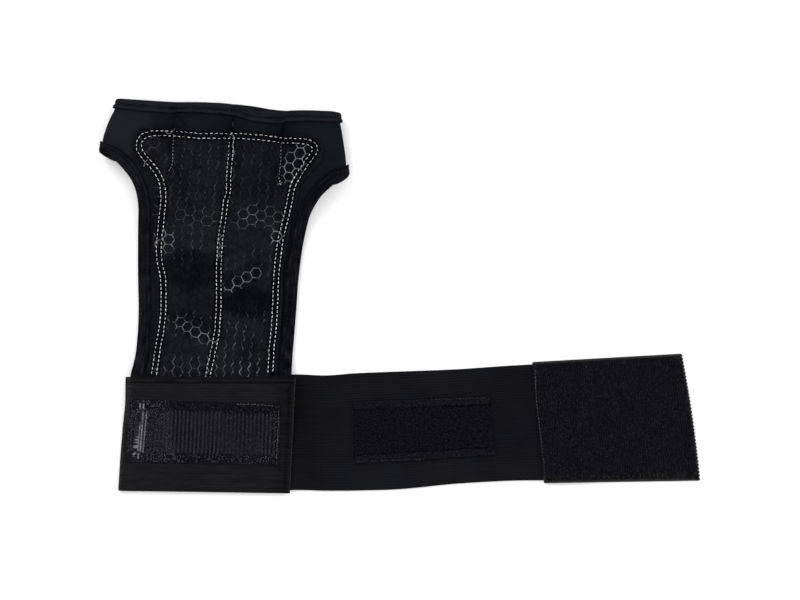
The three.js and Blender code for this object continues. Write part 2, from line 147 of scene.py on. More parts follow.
def bell(distance, reach):
    return math.exp(-((distance / reach) ** 2))


# a smooth curve through a short table
def reader(keys, values):
    last = len(keys) - 1
    slopes = []
    for i in range(last + 1):
        low, high = max(i - 1, 0), min(i + 1, last)
        slopes.append((values[high] - values[low]) / (keys[high] - keys[low]))

    def read(key):
        i = 0
        while i < last - 1 and key > keys[i + 1]:
            i += 1
        span = keys[i + 1] - keys[i]
        s = clamp((key - keys[i]) / span)
        pull = (values[i + 1] - values[i]) * (3 - 2 * s) * s * s
        return values[i] + pull + span * s * (1 - s) * (slopes[i] * (1 - s) - slopes[i + 1] * s)

    return read


# smooth curves down a table's columns, read together at a place from 0, its first row, to 1
def sections(rows):
    curves = [reader(steps(0, 1, len(rows) - 1), column) for column in zip(*rows)]
    return lambda place: [curve(place) for curve in curves]


# the hand piece, in millimetres
cloth = {
    "neoprene": 1.8, "padSheet": 1.0, "tape": 1.0, "elastic": 1.5, "gap": 0.3,
    "edgeReach": 1.85, "mouthLap": 4.4, "sideLap": 5.0, "edgeSlack": 0.25, "groundGap": 0.35,
}
cloth["boundHalf"] = cloth["neoprene"] / 2 + cloth["gap"] + cloth["edgeSlack"] + cloth["tape"]

hand = {
    "bandRows": [  # down the finger loops: left x, y, right x, y, level of the seams, of the crowns
        (-155.6, 107.6, -34.9, 100.5, 7.8, 15.2),
        (-157.8, 102.6, -33.9, 95.4, 7.8, 15.2),
        (-160.4, 97.6, -33.0, 90.4, 5.2, 15.0),
        (-162.6, 92.0, -32.0, 84.0, 4.6, 14.8),
        (-164.1, 86.4, -31.0, 76.4, 5.8, 14.4),
        (-164.8, 80.8, -30.4, 68.0, 6.5, 14.0),
    ],
    "palmRows": [  # the same down the palm, into the wrap
        (-155.7, 75.6, -39.1, 62.2, 6.5, 13.7),
        (-148.6, 67.3, -44.4, 57.3, 5.8, 12.8),
        (-145.1, 59.8, -48.4, 51.7, 4.2, 10.6),
        (-143.5, 50.1, -51.9, 44.7, 2.8, 7.4),
        (-143.7, 38.0, -54.2, 35.9, 1.8, 4.4),
        (-143.9, 24.0, -56.5, 24.0, 1.3, 2.4),
        (-143.8, 8.0, -58.4, 8.0, 1.1, 1.2),
        (-143.5, -6.0, -59.4, -6.0, 1.1, 1.1),
        (-143.9, -19.0, -60.4, -19.0, 1.1, 1.1),
        (-145.0, -31.0, -61.4, -31.0, 1.3, 1.3),
        (-146.6, -39.0, -61.9, -39.0, 2.4, 2.4),
        (-148.0, -45.0, -62.1, -45.0, 3.2, 3.2),
        (-148.2, -58.0, -62.5, -58.0, 3.2, 3.2),
    ],
    "lowerEdgeDip": (2.2, 3.9),
    "seamShares": [(0.262, 0.278), (0.532, 0.514), (0.757, 0.728)],  # at the mouth, at the palm
    "loopRoundness": 1.1,
    "outerSpread": 0.85,
    "bowShares": (0.0, 0.2, 0.4, 0.53, 0.62, 0.7, 0.8, 0.97, 1.0),
    "frontBows": (0.0, -0.1, 0.7, 0.6, -2.0, -2.4, -0.8, -0.1, -0.4),
    "backBows": (0.0, -0.3, 0.4, 0.9, 0.3, -0.8, -1.0, -0.4, -0.4),
    "stripSag": 6.0,
    "stripRim": (0.2, 0.42),  # shares from its edges: where its tapes hold it up, where it lies
    "foldShare": 0.045,
    "swells": [  # x, y, wide, long, rise
        (-70, 28, 14, 12, 0.9), (-112, 38, 22, 9, 0.8), (-88, 6, 20, 8, 1.1),
        (-122, -16, 16, 10, 1.0), (-92, -30, 22, 6, 0.6),
    ],
    "swellsFrom": (0.22, 0.4),  # shares of the palm where they begin and are full
    "sideRise": (1, 13),  # from the side tapes inwards, where the palm leaves their level and has left it
    "wrapRise": (33, 42.5),  # down from the origin, where its sides begin to lie on the strap and do
    "crumple": 0.22,
}
foldShare = hand["foldShare"]
band = sections(hand["bandRows"])
frontBow = reader(hand["bowShares"], hand["frontBows"])
backBow = reader(hand["bowShares"], hand["backBows"])


# stops across the hand piece, close together in its two folds
def acrossStops(shape):
    folds = shape["foldSteps"]
    middle = (foldShare, 1 - foldShare, shape["acrossSteps"])
    return joined((0, foldShare, folds), middle, (1 - foldShare, 1, folds))


# 0 at the fold's edge, 1 where the cloth is out of the fold
def outOfFold(across):
    return clamp(min(across, 1 - across) / foldShare)


def stripLevel(row):
    nearEdge = 1 - smoothstep(min(row, 1 - row), *hand["stripRim"])
    return lerp(cloth["neoprene"] / 2, cloth["boundHalf"] + cloth["groundGap"], nearEdge)


def bandPoint(across, row, up, level, bow):
    leftX, leftY, rightX, rightY, _, crown = band(row)
    radius = (crown - stripLevel(row)) / 2
    fromEnd = min(across, 1 - across)
    inTurn = outOfFold(across)
    angle = lerp(cloth["gap"] * 0.8 / radius, math.pi / 2, inTurn)
    flatRun = clamp((fromEnd - foldShare) / (0.5 - foldShare))
    inwards = lerp(radius / (rightX - leftX), 0.5, flatRun)
    if inTurn < 1:
        inwards = radius * (1 - math.cos(angle)) / (rightX - leftX)
    share = inwards if across < 0.5 else 1 - inwards
    dip = lerp(*hand["lowerEdgeDip"], share) * inTurn * row ** 3
    y = lerp(leftY, rightY, share) - dip + bow(share)
    return Vector((lerp(leftX, rightX, share), y, level(share) - up * radius * (1 - math.sin(angle))))


def loopShape(share, row):
    seams = [lerp(top, bottom, clamp(row)) for top, bottom in hand["seamShares"]]
    stops = [0, *seams, 1]
    loop = clamp(sum(share >= stop for stop in stops) - 1, 0, 3)
    across = (share - stops[loop]) / (stops[loop + 1] - stops[loop])
    fromSeam = 1 - across if loop == 0 else across
    spread = min(fromSeam * hand["outerSpread"], 0.5) if loop in (0, 3) else fromSeam
    return math.sin(math.pi * clamp(spread)) ** hand["loopRoundness"]


def frontBandPoint(across, row):
    def level(share):
        return lerp(*band(row)[4:], loopShape(share, row))

    return bandPoint(across, row, 1, level, lambda share: frontBow(share) * (1 - row) ** 2)


def stripPoint(across, row):
    def bow(share):
        return backBow(share) * (1 - row) ** 2 - hand["stripSag"] * 4 * share * (1 - share) * row ** 3

    return bandPoint(across, row, -1, lambda share: stripLevel(row), bow)


cornerLeft = frontBandPoint(foldShare, 1)
cornerRight = frontBandPoint(1 - foldShare, 1)
palm = sections([(*cornerLeft.xy, *cornerRight.xy, *band(1)[4:]), *hand["palmRows"]])
cornerShare = (cornerLeft.x - band(1)[0]) / (band(1)[2] - band(1)[0])


def palmPoint(share, place):
    leftX, leftY, rightX, rightY, seam, crown = palm(place)
    x, y = lerp(leftX, rightX, share), lerp(leftY, rightY, share)
    shape = loopShape(lerp(cornerShare, 1 - cornerShare, share), 1)
    rise = sum(
        up * bell(x - atX, wide) * bell(y - atY, long) for atX, atY, wide, long, up in hand["swells"]
    )
    flat = lerp(seam, crown, shape) + rise * smoothstep(place, *hand["swellsFrom"])
    fromSide = min(share, 1 - share) * (rightX - leftX)
    nearSide = 1 - smoothstep(fromSide, *[cloth["sideLap"] + away for away in hand["sideRise"]])
    bound = cloth["boundHalf"] + smoothstep(-y, *hand["wrapRise"]) * (cloth["elastic"] + cloth["gap"])
    return Vector((x, y, lerp(flat, max(flat, bound), nearSide)))


def handPoint(across, row):
    if row <= 1:
        return frontBandPoint(across, row)
    return palmPoint((across - foldShare) / (1 - 2 * foldShare), row - 1)


def facing(point, u, v):
    nudge = 1e-3
    across = point(u + nudge, v) - point(u - nudge, v)
    along = point(u, v - nudge) - point(u, v + nudge)
    return across.cross(along).normalized()


# cloth sheets from grids
def makePiece(name, bm, node, slot, finish):
    mesh = meshFrom(name, bm)
    for polygon in mesh.polygons:
        polygon.use_smooth = True
    piece = addObject(name, mesh)
    mesh.materials.append(finishes[finish])
    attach(piece, "root")
    if node:
        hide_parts(node)
    return piece


# a grid whose columns and rows stand at the stops, each point moved to its place; the UV
# map "cloth" is in millimetres along the cloth
def clothGrid(uStops, vStops, place, shade=None, keep=None, smooth=0, extra=None):
    columns, rows = len(uStops) - 1, len(vStops) - 1
    bm = bmesh.new()
    rules = {"shade": shade or (lambda u, v, point: 0.5), **(extra or {})}
    layers = {name: bm.verts.layers.float.new(name) for name in rules}
    uvLayer = bm.loops.layers.uv.new("cloth")
    bmesh.ops.create_grid(bm, x_segments=columns, y_segments=rows, size=1)
    spots = {}
    for vert in bm.verts:
        spots[vert] = (round((vert.co.x + 1) / 2 * columns), round((1 - vert.co.y) / 2 * rows))
    if keep:
        spare = [
            face for face in bm.faces
            if not keep(
                uStops[min(spots[v][0] for v in face.verts)],
                vStops[min(spots[v][1] for v in face.verts)],
            )
        ]
        bmesh.ops.delete(bm, geom=spare, context="FACES")
    midRow, midColumn = vStops[rows // 2], uStops[columns // 2]
    lengths = []
    for stops, at in ((uStops, lambda s: place(s, midRow)), (vStops, lambda s: place(midColumn, s))):
        run = [0.0]
        for a, b in zip(stops, stops[1:]):
            run.append(run[-1] + (at(b) - at(a)).length)
        lengths.append(run)
    for vert in bm.verts:
        i, j = spots[vert]
        point = place(uStops[i], vStops[j])
        for name, rule in rules.items():
            vert[layers[name]] = clamp(rule(uStops[i], vStops[j], point))
        vert.co = point * mm
    for face in bm.faces:
        for loop in face.loops:
            i, j = spots[loop.vert]
            loop[uvLayer].uv = (lengths[0][i], -lengths[1][j])
    inner = [vert for vert in bm.verts if not vert.is_boundary]
    for _ in range(smooth):
        bmesh.ops.smooth_vert(bm, verts=inner, factor=0.5, use_axis_z=True)
    return bm


def thicken(piece, thickness, rounding=0.3, offset=0.0):
    solid = piece.modifiers.new("thickness", "SOLIDIFY")
    solid.thickness = thickness * mm
    solid.offset = offset
    solid.use_even_offset = False
    if not rounding:
        return
    bevel = piece.modifiers.new("softRim", "BEVEL")
    bevel.width = rounding * mm
    bevel.segments = 2
    bevel.profile = 0.5
    bevel.limit_method = "ANGLE"
    bevel.angle_limit = math.radians(50)


def makeSheet(name, bm, node, slot, finish, thickness, rounding=0.3):
    piece = makePiece(name, bm, node, slot, finish)
    thicken(piece, thickness, rounding)
    return piece


# a look-up of the level of finished pieces, in millimetres
class Surface:
    def __init__(self, *pieces):
        graph = bpy.context.evaluated_depsgraph_get()
        graph.update()
        self.trees = [BVHTree.FromObject(piece, graph) for piece in pieces]

    def level(self, x, y, missing=0.0):
        above, down = Vector((x * mm, y * mm, 0.2)), Vector((0, 0, -1))
        hits = [tree.ray_cast(above, down)[0] for tree in self.trees]
        levels = [hit.z / mm for hit in hits if hit is not None]
        return max(levels) if levels else missing

    def place(self, x, y, lift=0.0, nudge=0.7):
        z = self.level(x, y)
        slopeX = (self.level(x + nudge, y, z) - self.level(x - nudge, y, z)) / (2 * nudge)
        slopeY = (self.level(x, y + nudge, z) - self.level(x, y - nudge, z)) / (2 * nudge)
        normal = Vector((-clamp(slopeX, -1, 1), -clamp(slopeY, -1, 1), 1)).normalized()
        return Vector((x, y, z)) + normal * lift


# the sum of soft oval spots: x, y, turn in degrees, half length, half width, strength
def spotSum(spots, x, y):
    total = 0.0
    for atX, atY, turn, long, wide, strength in spots:
        c, s = math.cos(math.radians(turn)), math.sin(math.radians(turn))
        along = ((x - atX) * c + (y - atY) * s) / long
        aside = ((y - atY) * c - (x - atX) * s) / wide
        total += strength * (1 - smoothstep(along * along + aside * aside, 0.35, 1.3))
    return total


def turnedTo(place, along, normal, size):
    along = (along - normal * along.dot(normal)).normalized()
    aside = normal.cross(along)
    length, width, height = size
    turn = Matrix((along * length, aside * width, normal * height)).transposed().to_4x4()
    turn.translation = place
    return turn


# many copies of one small mesh in one bmesh
def copyShape(seed, turns):
    bm = bmesh.new()
    for turn in turns:
        copied = seed.copy()
        copied.transform(turn)
        bm.from_mesh(copied)
        bpy.data.meshes.remove(copied)
    bmesh.ops.scale(bm, verts=bm.verts, vec=(mm, mm, mm))
    return bm


def ripple(x, y, size, depth, seed=0):
    return depth * noise.noise(Vector((x / size, y / size, seed * 7.3)))


# stitch lines on the pad, in millimetres
sewing = {
    "outer": [
        (-138.1, -43.8), (-136.7, -33.6), (-135.3, -25), (-133.6, -15.8), (-132.9, -5.2),
        (-133.2, 10.5), (-135, 19), (-135.3, 28.2), (-133.8, 43.1), (-132.7, 53.7),
        (-133.1, 60.4), (-134.2, 64.6), (-137.3, 69.9), (-141.1, 74.1), (-144.6, 78.6),
        (-146.1, 82.8), (-144.8, 88), (-141.1, 90.7), (-135.2, 91.7), (-124.5, 91.4),
        (-111.8, 90.1), (-92.7, 90.1), (-75.6, 89), (-62.8, 87.6), (-52.1, 86.9),
        (-47.4, 85.3), (-45.4, 82.0), (-46.0, 79.2), (-48.4, 76.0), (-51.6, 71.6),
        (-55.0, 66.0), (-58.0, 60.5), (-59.9, 51.5), (-61.9, 43.3), (-63.5, 37.0),
        (-64.9, 31.6), (-65.7, 26),
        (-67.2, 13.3), (-67.9, -2.3), (-68.6, -15.8), (-70, -30), (-70.7, -43.8),
    ],
    "innerInset": 2.7,  # from the outer line to the inner one
    "softenInner": 3,
    "centre": [
        (-94.3, 89.0), (-94.8, 84.9), (-95.3, 77.4), (-96.3, 66.7), (-96.6, 57.3),
        (-97.9, 53.9), (-99.4, 43.1), (-101.2, 31.7), (-102, 16.1), (-102, 1.9),
        (-102.3, -8.1), (-103.3, -21.4), (-105.5, -32), (-108.4, -46),
    ],
    "centreSpacing": 2.6,
    "leftSeam": [(-125.6, 91.0), (-125.7, 84.0), (-126.0, 76.0), (-127.2, 71.0), (-129.6, 67.6)],
    "rightSeam": [
        (-65.6, 87.4), (-66.2, 82.0), (-66.4, 74.0), (-67.0, 68.0), (-66.4, 62.4), (-64.4, 59.8),
    ],
    "bright": ("outer", "inner", "centreLeft", "centreRight"),
    "seamAway": 0.7,  # the two plain seams sink less than the bright lines, as if this much further off
    "lineStep": 1.0,
    "loose": [
        [(-93.2, 90.6), (-92.0, 87.6), (-92.6, 84.0), (-91.9, 80.0), (-92.8, 76.0)],
        [(-68.2, 61.6), (-66.6, 62.4), (-65.0, 63.0)],
        [(-142.6, 75.6), (-141.3, 74.2), (-140.0, 75.4)], [(-141.3, 74.2), (-141.9, 71.8)],
        [(-130.6, 91.5), (-128.8, 90.0), (-127.0, 90.7), (-125.6, 92.2), (-124.7, 93.1)],
        [(-133.3, 31.4), (-134.9, 30.6), (-136.3, 29.2), (-135.0, 26.4)],
    ],
    "whiskers": [
        [(-92.5, 96.8), (-92.6, 94.2)], [(-136.0, 60.3), (-133.6, 60.0)],
        [(-136.4, 55.0), (-133.4, 55.3)], [(-136.2, 49.6), (-133.6, 49.9)],
        [(-136.4, 51.0), (-135.0, 49.9)], [(-137.2, 45.1), (-134.4, 45.3)],
        [(-136.9, 35.0), (-135.8, 33.6)], [(-136.3, 35.0), (-136.2, 33.2)],
    ],
    "pitch": 2.3,
    "acrossPitch": 1.2,  # times the pitch, where a line runs across
    "stitch": (1.55, 0.46, 0.42),  # length, width, height
    "fine": [  # where stitches are finer: x, y, turn, half length, half width, strength
        (-92.0, 90.0, -1, 48, 5, 0.16), (-49.0, 80.0, 60, 15, 8, 0.3), (-143.0, 82.0, 0, 12, 12, 0.2),
    ],
    "seamPitch": 1.9,
    "seamStitch": (1.3, 0.42, 0.36),
    "bandPitch": 1.7,
    "widths": (0.66, 1.12),  # times a stitch's width and height, by chance
    "lengths": (0.85, 1.12),  # times its length, by chance
    "skew": 0.16,  # how far it may turn from its line, about in radians
    "longest": 1.3,  # times its length at most, where stops lie further apart
    "threadPitch": 0.55,
    "threadBead": (0.8, 0.36, 0.32),
}


# a smooth line through the points, as (x, y) pairs a step apart, or further where it runs
# across the glove
def runThrough(points, step, across=1.0):
    keys = [0.0]
    for a, b in zip(points, points[1:]):
        keys.append(keys[-1] + math.dist(a, b))
    atX = reader(keys, [p[0] for p in points])
    atY = reader(keys, [p[1] for p in points])
    fine = [(atX(s), atY(s)) for s in steps(0, keys[-1], int(keys[-1] / 0.3))]
    run, walked, due = [fine[0]], 0.0, step
    for a, b in zip(fine, fine[1:]):
        walked += math.dist(a, b)
        if walked >= due:
            run.append(b)
            due += step * lerp(1, across, abs(b[0] - a[0]) / math.dist(a, b))
    return run


# the same line moved to its right by a distance
def besideRun(points, distance):
    moved = []
    for i, point in enumerate(points):
        a, b = points[max(i - 1, 0)], points[min(i + 1, len(points) - 1)]
        length = math.dist(a, b) or 1.0
        moved.append((
            point[0] + (b[1] - a[1]) / length * distance,
            point[1] - (b[0] - a[0]) / length * distance,
        ))
    return moved


def softened(points, times):
    for _ in range(times):
        middles = [
            ((a[0] + b[0] + c[0]) / 3, (a[1] + b[1] + c[1]) / 3)
            for a, b, c in zip(points, points[1:], points[2:])
        ]
        points = [points[0], *middles, points[-1]]
    return points


fineOuter = runThrough(sewing["outer"], sewing["lineStep"])
fineCentre = runThrough(sewing["centre"], sewing["lineStep"])
seamRuns = {
    "outer": fineOuter,
    "inner": softened(besideRun(fineOuter, sewing["innerInset"]), sewing["softenInner"]),
    "centreLeft": fineCentre,
    "centreRight": besideRun(fineCentre, -sewing["centreSpacing"]),
    "left": runThrough(sewing["leftSeam"], sewing["lineStep"]),
    "right": runThrough(sewing["rightSeam"], sewing["lineStep"]),
}
linePoints = [point for run in seamRuns.values() for point in run]
brightPoints = sum(len(seamRuns[name]) for name in sewing["bright"])
lineTree = kdtree.KDTree(len(linePoints))
for i, (x, y) in enumerate(linePoints):
    lineTree.insert((x, y, 0), i)
lineTree.balance()


def fromStitching(x, y):
    _, nearest, away = lineTree.find((x, y, 0))
    return away + (sewing["seamAway"] if nearest >= brightPoints else 0.0)


# materials
# one socket of a node tree, so that sums of masks can be written as sums
class Wire:
    def __init__(self, finish, socket):
        self.finish = finish
        self.socket = socket

    def maths(self, operation, first, second):
        return self.finish.node("ShaderNodeMath", {"operation": operation}, [first, second])

    def __add__(self, other):
        return self.maths("ADD", self, other)

    def __radd__(self, other):
        return self.maths("ADD", other, self)

    def __sub__(self, other):
        return self.maths("SUBTRACT", self, other)

    def __rsub__(self, other):
        return self.maths("SUBTRACT", other, self)

    def __mul__(self, other):
        return self.maths("MULTIPLY", self, other)

    def __rmul__(self, other):
        return self.maths("MULTIPLY", other, self)


class Finish:
    def __init__(self, name):
        self.material = bpy.data.materials.new(name)
        self.material.use_nodes = True
        self.tree = self.material.node_tree
        self.tree.nodes.clear()

    def node(self, kind, settings=None, inputs=None, output=0):
        made = self.tree.nodes.new(kind)
        for name, value in (settings or {}).items():
            setattr(made, name, value)
        feeds = inputs.items() if isinstance(inputs, dict) else enumerate(inputs or [])
        for key, value in feeds:
            if isinstance(value, Wire):
                self.tree.links.new(value.socket, made.inputs[key])
            elif value is not None:
                made.inputs[key].default_value = value
        return Wire(self, made.outputs[output]) if len(made.outputs) else made

    def sine(self, value):
        return self.node("ShaderNodeMath", {"operation": "SINE"}, [value])

    # a sine that runs from 0 to 1
    def wave(self, value):
        return self.sine(value) * 0.5 + 0.5

    # 0 below low, 1 above high
    def ease(self, value, low, high):
        return self.node(
            "ShaderNodeMapRange", {"interpolation_type": "SMOOTHSTEP"},
            {"Value": value, "From Min": low, "From Max": high},
        )

    def clothMap(self):
        return self.node("ShaderNodeUVMap", {"uv_map": "cloth"})

    # object coordinates in millimetres
    def placeMap(self):
        spot = self.node("ShaderNodeTexCoord", output=3)
        return self.node("ShaderNodeVectorMath", {"operation": "SCALE"}, {0: spot, "Scale": 1000})

    def painted(self, name="shade"):
        return self.node("ShaderNodeAttribute", {"attribute_name": name}, output=2)

    def parts(self, vector):
        return [self.node("ShaderNodeSeparateXYZ", None, [vector], output=i) for i in range(3)]

    def stretched(self, vector, scale):
        return self.node("ShaderNodeMapping", None, {"Vector": vector, "Scale": scale})

    def speckle(self, vector, size, detail=2.0):
        return self.node(
            "ShaderNodeTexNoise", None,
            {"Vector": vector, "Scale": 1 / size, "Detail": detail, "Roughness": 0.6},
        )

    # noise about 0, by up to half the amount either way
    def mottled(self, vector, size, amount, detail=2.0):
        return (self.speckle(vector, size, detail) - 0.5) * amount

    # a colour between two, each given as a colour or as another mix
    def tint(self, factor, low, high):
        ends = [end if isinstance(end, Wire) else (*end, 1) for end in (low, high)]
        return self.node(
            "ShaderNodeMix", {"data_type": "RGBA"}, {0: factor, 6: ends[0], 7: ends[1]}, output=2
        )

    # from a fabric's dark to its light, or to another light
    def dyed(self, shade, name, light=None):
        dark, ownLight = dyes[name]
        return self.tint(self.ease(shade, 0.0, 1.0), dark, light or ownLight)

    def bump(self, height, depth):
        return self.node("ShaderNodeBump", None, {"Height": height, "Distance": depth * mm})

    def skin(self, colour, roughness, normal, gloss=0.02):
        shader = self.node(
            "ShaderNodeBsdfPrincipled", None,
            {
                "Base Color": colour, "Roughness": roughness, "Normal": normal,
                "Specular IOR Level": gloss,
            },
        )
        self.node("ShaderNodeOutputMaterial", None, {"Surface": shader})
        return self.material


dyes = {  # the dark and the light of each fabric and thread
    "neoprene": ((0.0016, 0.0019, 0.0026), (0.0094, 0.0100, 0.0124)),
    "tape": ((0.0010, 0.0011, 0.0018), (0.0090, 0.0094, 0.0124)),
    "pad": ((0.0006, 0.0007, 0.0014), (0.0096, 0.0101, 0.0130)),
    "elastic": ((0.0022, 0.0022, 0.0026), (0.0090, 0.0091, 0.0102)),
    "hookTape": ((0.0010, 0.0009, 0.0022), (0.0190, 0.0180, 0.0250)),
    "hook": ((0.0080, 0.0076, 0.0115), (0.0420, 0.0410, 0.0510)),
    "tabTape": ((0.0008, 0.0008, 0.0017), (0.0068, 0.0064, 0.0098)),
    "tabHook": ((0.0008, 0.0007, 0.0016), (0.0160, 0.0152, 0.0205)),
    "pile": ((0.0006, 0.0006, 0.0014), (0.0115, 0.0115, 0.0160)),
    "whiteThread": ((0.33, 0.335, 0.34), (0.86, 0.86, 0.85)),
    "blackThread": ((0.0006, 0.0006, 0.0008), (0.0034, 0.0034, 0.0042)),
    "dullThread": ((0.028, 0.030, 0.034), (0.085, 0.090, 0.095)),
    "seamThread": ((0.085, 0.090, 0.095), (0.36, 0.36, 0.36)),
    "loopThread": ((0.0034, 0.0034, 0.0042), (0.050, 0.052, 0.056)),
}
accents = {  # other colours that show in places, among them the painted highlight of the grip lines, the painted glare on the hook nylon, and the elastic's light fringe, which is partly a painted highlight
    "neopreneCool": (0.0066, 0.0086, 0.0112), "gripLineHighlight": (0.185, 0.195, 0.20),
    "elasticCool": (0.0078, 0.0085, 0.0122), "elasticFringeAndHighlight": (0.030, 0.032, 0.029),
    "tabEdge": (0.0220, 0.0220, 0.0200), "pileEdge": (0.0120, 0.0120, 0.0128),
    "hookPaintedGlare": (0.160, 0.157, 0.171),
}
crest = 1.57  # radians, at which a wave stands at its top


def neopreneFinish():
    f = Finish("neopreneJersey")
    place = f.placeMap()
    u, v, _ = f.parts(f.clothMap())
    x, _, _ = f.parts(place)
    knit = f.wave(u * 12.6) * f.wave(v * 10.4 + f.sine(u * 6.3) * 0.9)
    grain = f.speckle(place, 0.45)
    shade = f.painted() + f.mottled(place, 6.0, 0.4, 4.0) + (grain - 0.5) * 0.5 + (knit - 0.25) * 0.2
    light = f.tint(f.ease(x, -112, -62), dyes["neoprene"][1], accents["neopreneCool"])
    return f.skin(f.dyed(shade, "neoprene", light), 0.9, f.bump(knit + grain * 0.6, 0.09))


def tapeFinish():
    f = Finish("edgingTape")
    u, v, _ = f.parts(f.clothMap())
    weave = f.sine(u * 9.0) * f.sine(v * 9.0) * 0.5 + 0.5
    streaks = f.mottled(f.stretched(f.clothMap(), (1.0, 0.12, 1.0)), 0.9, 1.3, 3.0)
    shade = f.painted() + streaks + (weave - 0.5) * 0.15
    return f.skin(f.dyed(shade, "tape"), 0.85, f.bump(weave, 0.07))


def padColour(f, place, grain):
    shade = f.painted() + f.mottled(place, 7.0, 0.6, 3.0) + (grain - 0.5) * 0.4
    return f.dyed(shade + f.mottled(f.stretched(place, (1.0, 0.6, 1.0)), 1.7, 0.5), "pad")


def padFinish():
    f = Finish("gripRubber")
    place = f.placeMap()
    grain = f.speckle(place, 0.5)
    return f.skin(padColour(f, place, grain), 0.55 + grain * 0.25, f.bump(grain, 0.08))


# the honeycomb lines in the pad's colour, mixed in patches towards a painted highlight on the faces marked
# for it
def lineFinish():
    f = Finish("gripLineRubber")
    place = f.placeMap()
    patchiness = f.ease(f.speckle(place, 1.3, 3.0), 0.3, 0.62)
    grain = f.speckle(place, 0.4)
    lit = f.painted("paintedHighlight") * (0.3 + patchiness * 0.75)
    colour = f.tint(lit, padColour(f, place, grain), accents["gripLineHighlight"])
    return f.skin(colour, 0.5, f.bump(grain, 0.05), 0.03)


def elasticFinish():
    f = Finish("ribbedElastic")
    place = f.placeMap()
    u, v, _ = f.parts(f.clothMap())
    x, y, _ = f.parts(place)
    ribs = f.wave(v * (2 * math.pi / 1.5) + crest)
    picks = f.wave(u * 7.5 + f.sine(v * 2.1) * 1.6)
    streaks = f.speckle(f.stretched(f.clothMap(), (0.04, 1.0, 1.0)), 1.2, 3.0)
    plainFlap = (1 - f.ease(x, -66, -60)) * (1 - f.ease(y, -90, -66))
    shade = f.painted() + (ribs - 0.5) * 0.16 + f.mottled(place, 18.0, 0.3, 3.0) + (picks - 0.5) * 0.1
    shade = shade + (streaks - 0.5) * (0.42 - plainFlap * 0.26)
    coolness = f.ease(f.speckle(place, 30.0, 1.0), 0.42, 0.66) * f.ease(x, -72, -52) * 0.6
    light = f.tint(coolness, dyes["elastic"][1], accents["elasticCool"])
    # the light rim along the fold and the hem's edge, partly a painted highlight
    colour = f.tint(f.painted("fringeAndHighlight"), f.dyed(shade, "elastic", light), accents["elasticFringeAndHighlight"])
    return f.skin(colour, 0.9, f.bump(ribs * 0.7 + picks * 0.3, 0.12))


# streaks of painted glare on the nylon: start and end in the plan, half width at either end
paintedGlareStreaks = [
    ((-142.4, -64.0), (-144.5, -86.2), 0.42, 0.36), ((-144.3, -70.0), (-145.7, -86.0), 0.28, 0.36),
    ((-140.6, -64.3), (-143.0, -87.0), 0.28, 0.26),
    ((-144.2, -59.4), (-144.3, -62.6), 0.3, 0.3), ((-142.2, -59.6), (-142.4, -63.0), 0.32, 0.3),
    ((-147.1, -87.0), (-148.6, -88.2), 0.7, 0.6), ((-145.4, -87.2), (-145.6, -90.4), 0.35, 0.3),
    ((-146.9, -78.0), (-145.4, -78.3), 0.4, 0.5), ((-147.3, -79.7), (-145.4, -80.0), 0.4, 0.5),
    ((-147.8, -81.2), (-145.4, -81.4), 0.25, 0.3), ((-148.2, -83.6), (-145.6, -83.9), 0.7, 0.8),
]


# a colour with the painted glare laid over it, in streaks and in specks beside them
def withPaintedGlare(f, place, colour):
    x, y, _ = f.parts(place)
    ragged = f.speckle(place, 0.9, 3.0) - 0.5
    paintedGlare = None
    for (ax, ay), (bx, by), startHalf, endHalf in paintedGlareStreaks:
        long = math.dist((ax, ay), (bx, by))
        dx, dy = (bx - ax) / long, (by - ay) / long
        along = (x - ax) * dx + (y - ay) * dy
        aside = (x - ax) * dy - (y - ay) * dx
        aside = aside + ragged * (0.4 + f.ease(aside, 0.0, 0.8) * 1.6)
        half = startHalf + along * ((endHalf - startHalf) / long)
        within = f.ease(along, -0.5, 0.5) * (1 - f.ease(along, long - 0.5, long + 0.5))
        streak = within * (1 - f.ease(aside * aside - half * half, -0.12, 0.16))
        paintedGlare = streak if paintedGlare is None else paintedGlare + streak
    beside = f.ease(x, -152, -149) * (1 - f.ease(x + y * 0.1, -136, -133)) * f.ease(y, -94, -90)
    paintedGlareSpecks = beside * f.ease(f.speckle(place, 0.75, 1.0), 0.58, 0.72) * 0.42
    gaps = f.ease(f.speckle(f.stretched(place, (0.5, 2.2, 1.0)), 1.2), 0.36, 0.54)
    return f.tint(paintedGlare * gaps + paintedGlareSpecks, colour, accents["hookPaintedGlare"])


# ridges across the tape at the hooks' pitch; the painted "weave" breaks them into dots
def hookTapeFinish(name, dye, hookDye, pitch, start, addsPaintedGlare, edge=None):
    f = Finish(name)
    place = f.placeMap()
    u, _, _ = f.parts(f.clothMap())
    ridges = f.wave((u - start) * (2 * math.pi / pitch) + crest)
    broken = f.painted("weave")
    patchiness = f.ease(f.speckle(f.stretched(place, (1.0, 0.25, 1.0)), 9.0, 1.0), 0.32, 0.6)
    specks = f.speckle(f.stretched(place, (1.0, 0.6, 1.0)), 0.75, 1.0)
    grain = f.speckle(place, 0.8) - 0.5
    shade = f.painted() + f.mottled(place, 9.0, 0.3, 3.0) + grain * 0.5
    shade = shade + (ridges - 0.5) * (1 - broken) * patchiness * 0.5
    shade = shade + broken * (f.ease(specks, 0.4, 0.68) * 1.5 - 1.02)
    # painted glints of the nylon where the weave is broken
    glints = broken * f.ease(specks, 0.55, 0.7) * 0.6
    colour = f.tint(glints, f.dyed(shade, dye), dyes[hookDye][1])
    if edge:
        colour = f.tint(f.painted("selvage"), colour, f.dyed(shade, dye, accents[edge]))
    # the painted glare streaks, where this tape has them
    if addsPaintedGlare:
        colour = withPaintedGlare(f, place, colour)
    return f.skin(colour, 0.6, f.bump(ridges * 0.5 + grain, 0.1), 0.04)


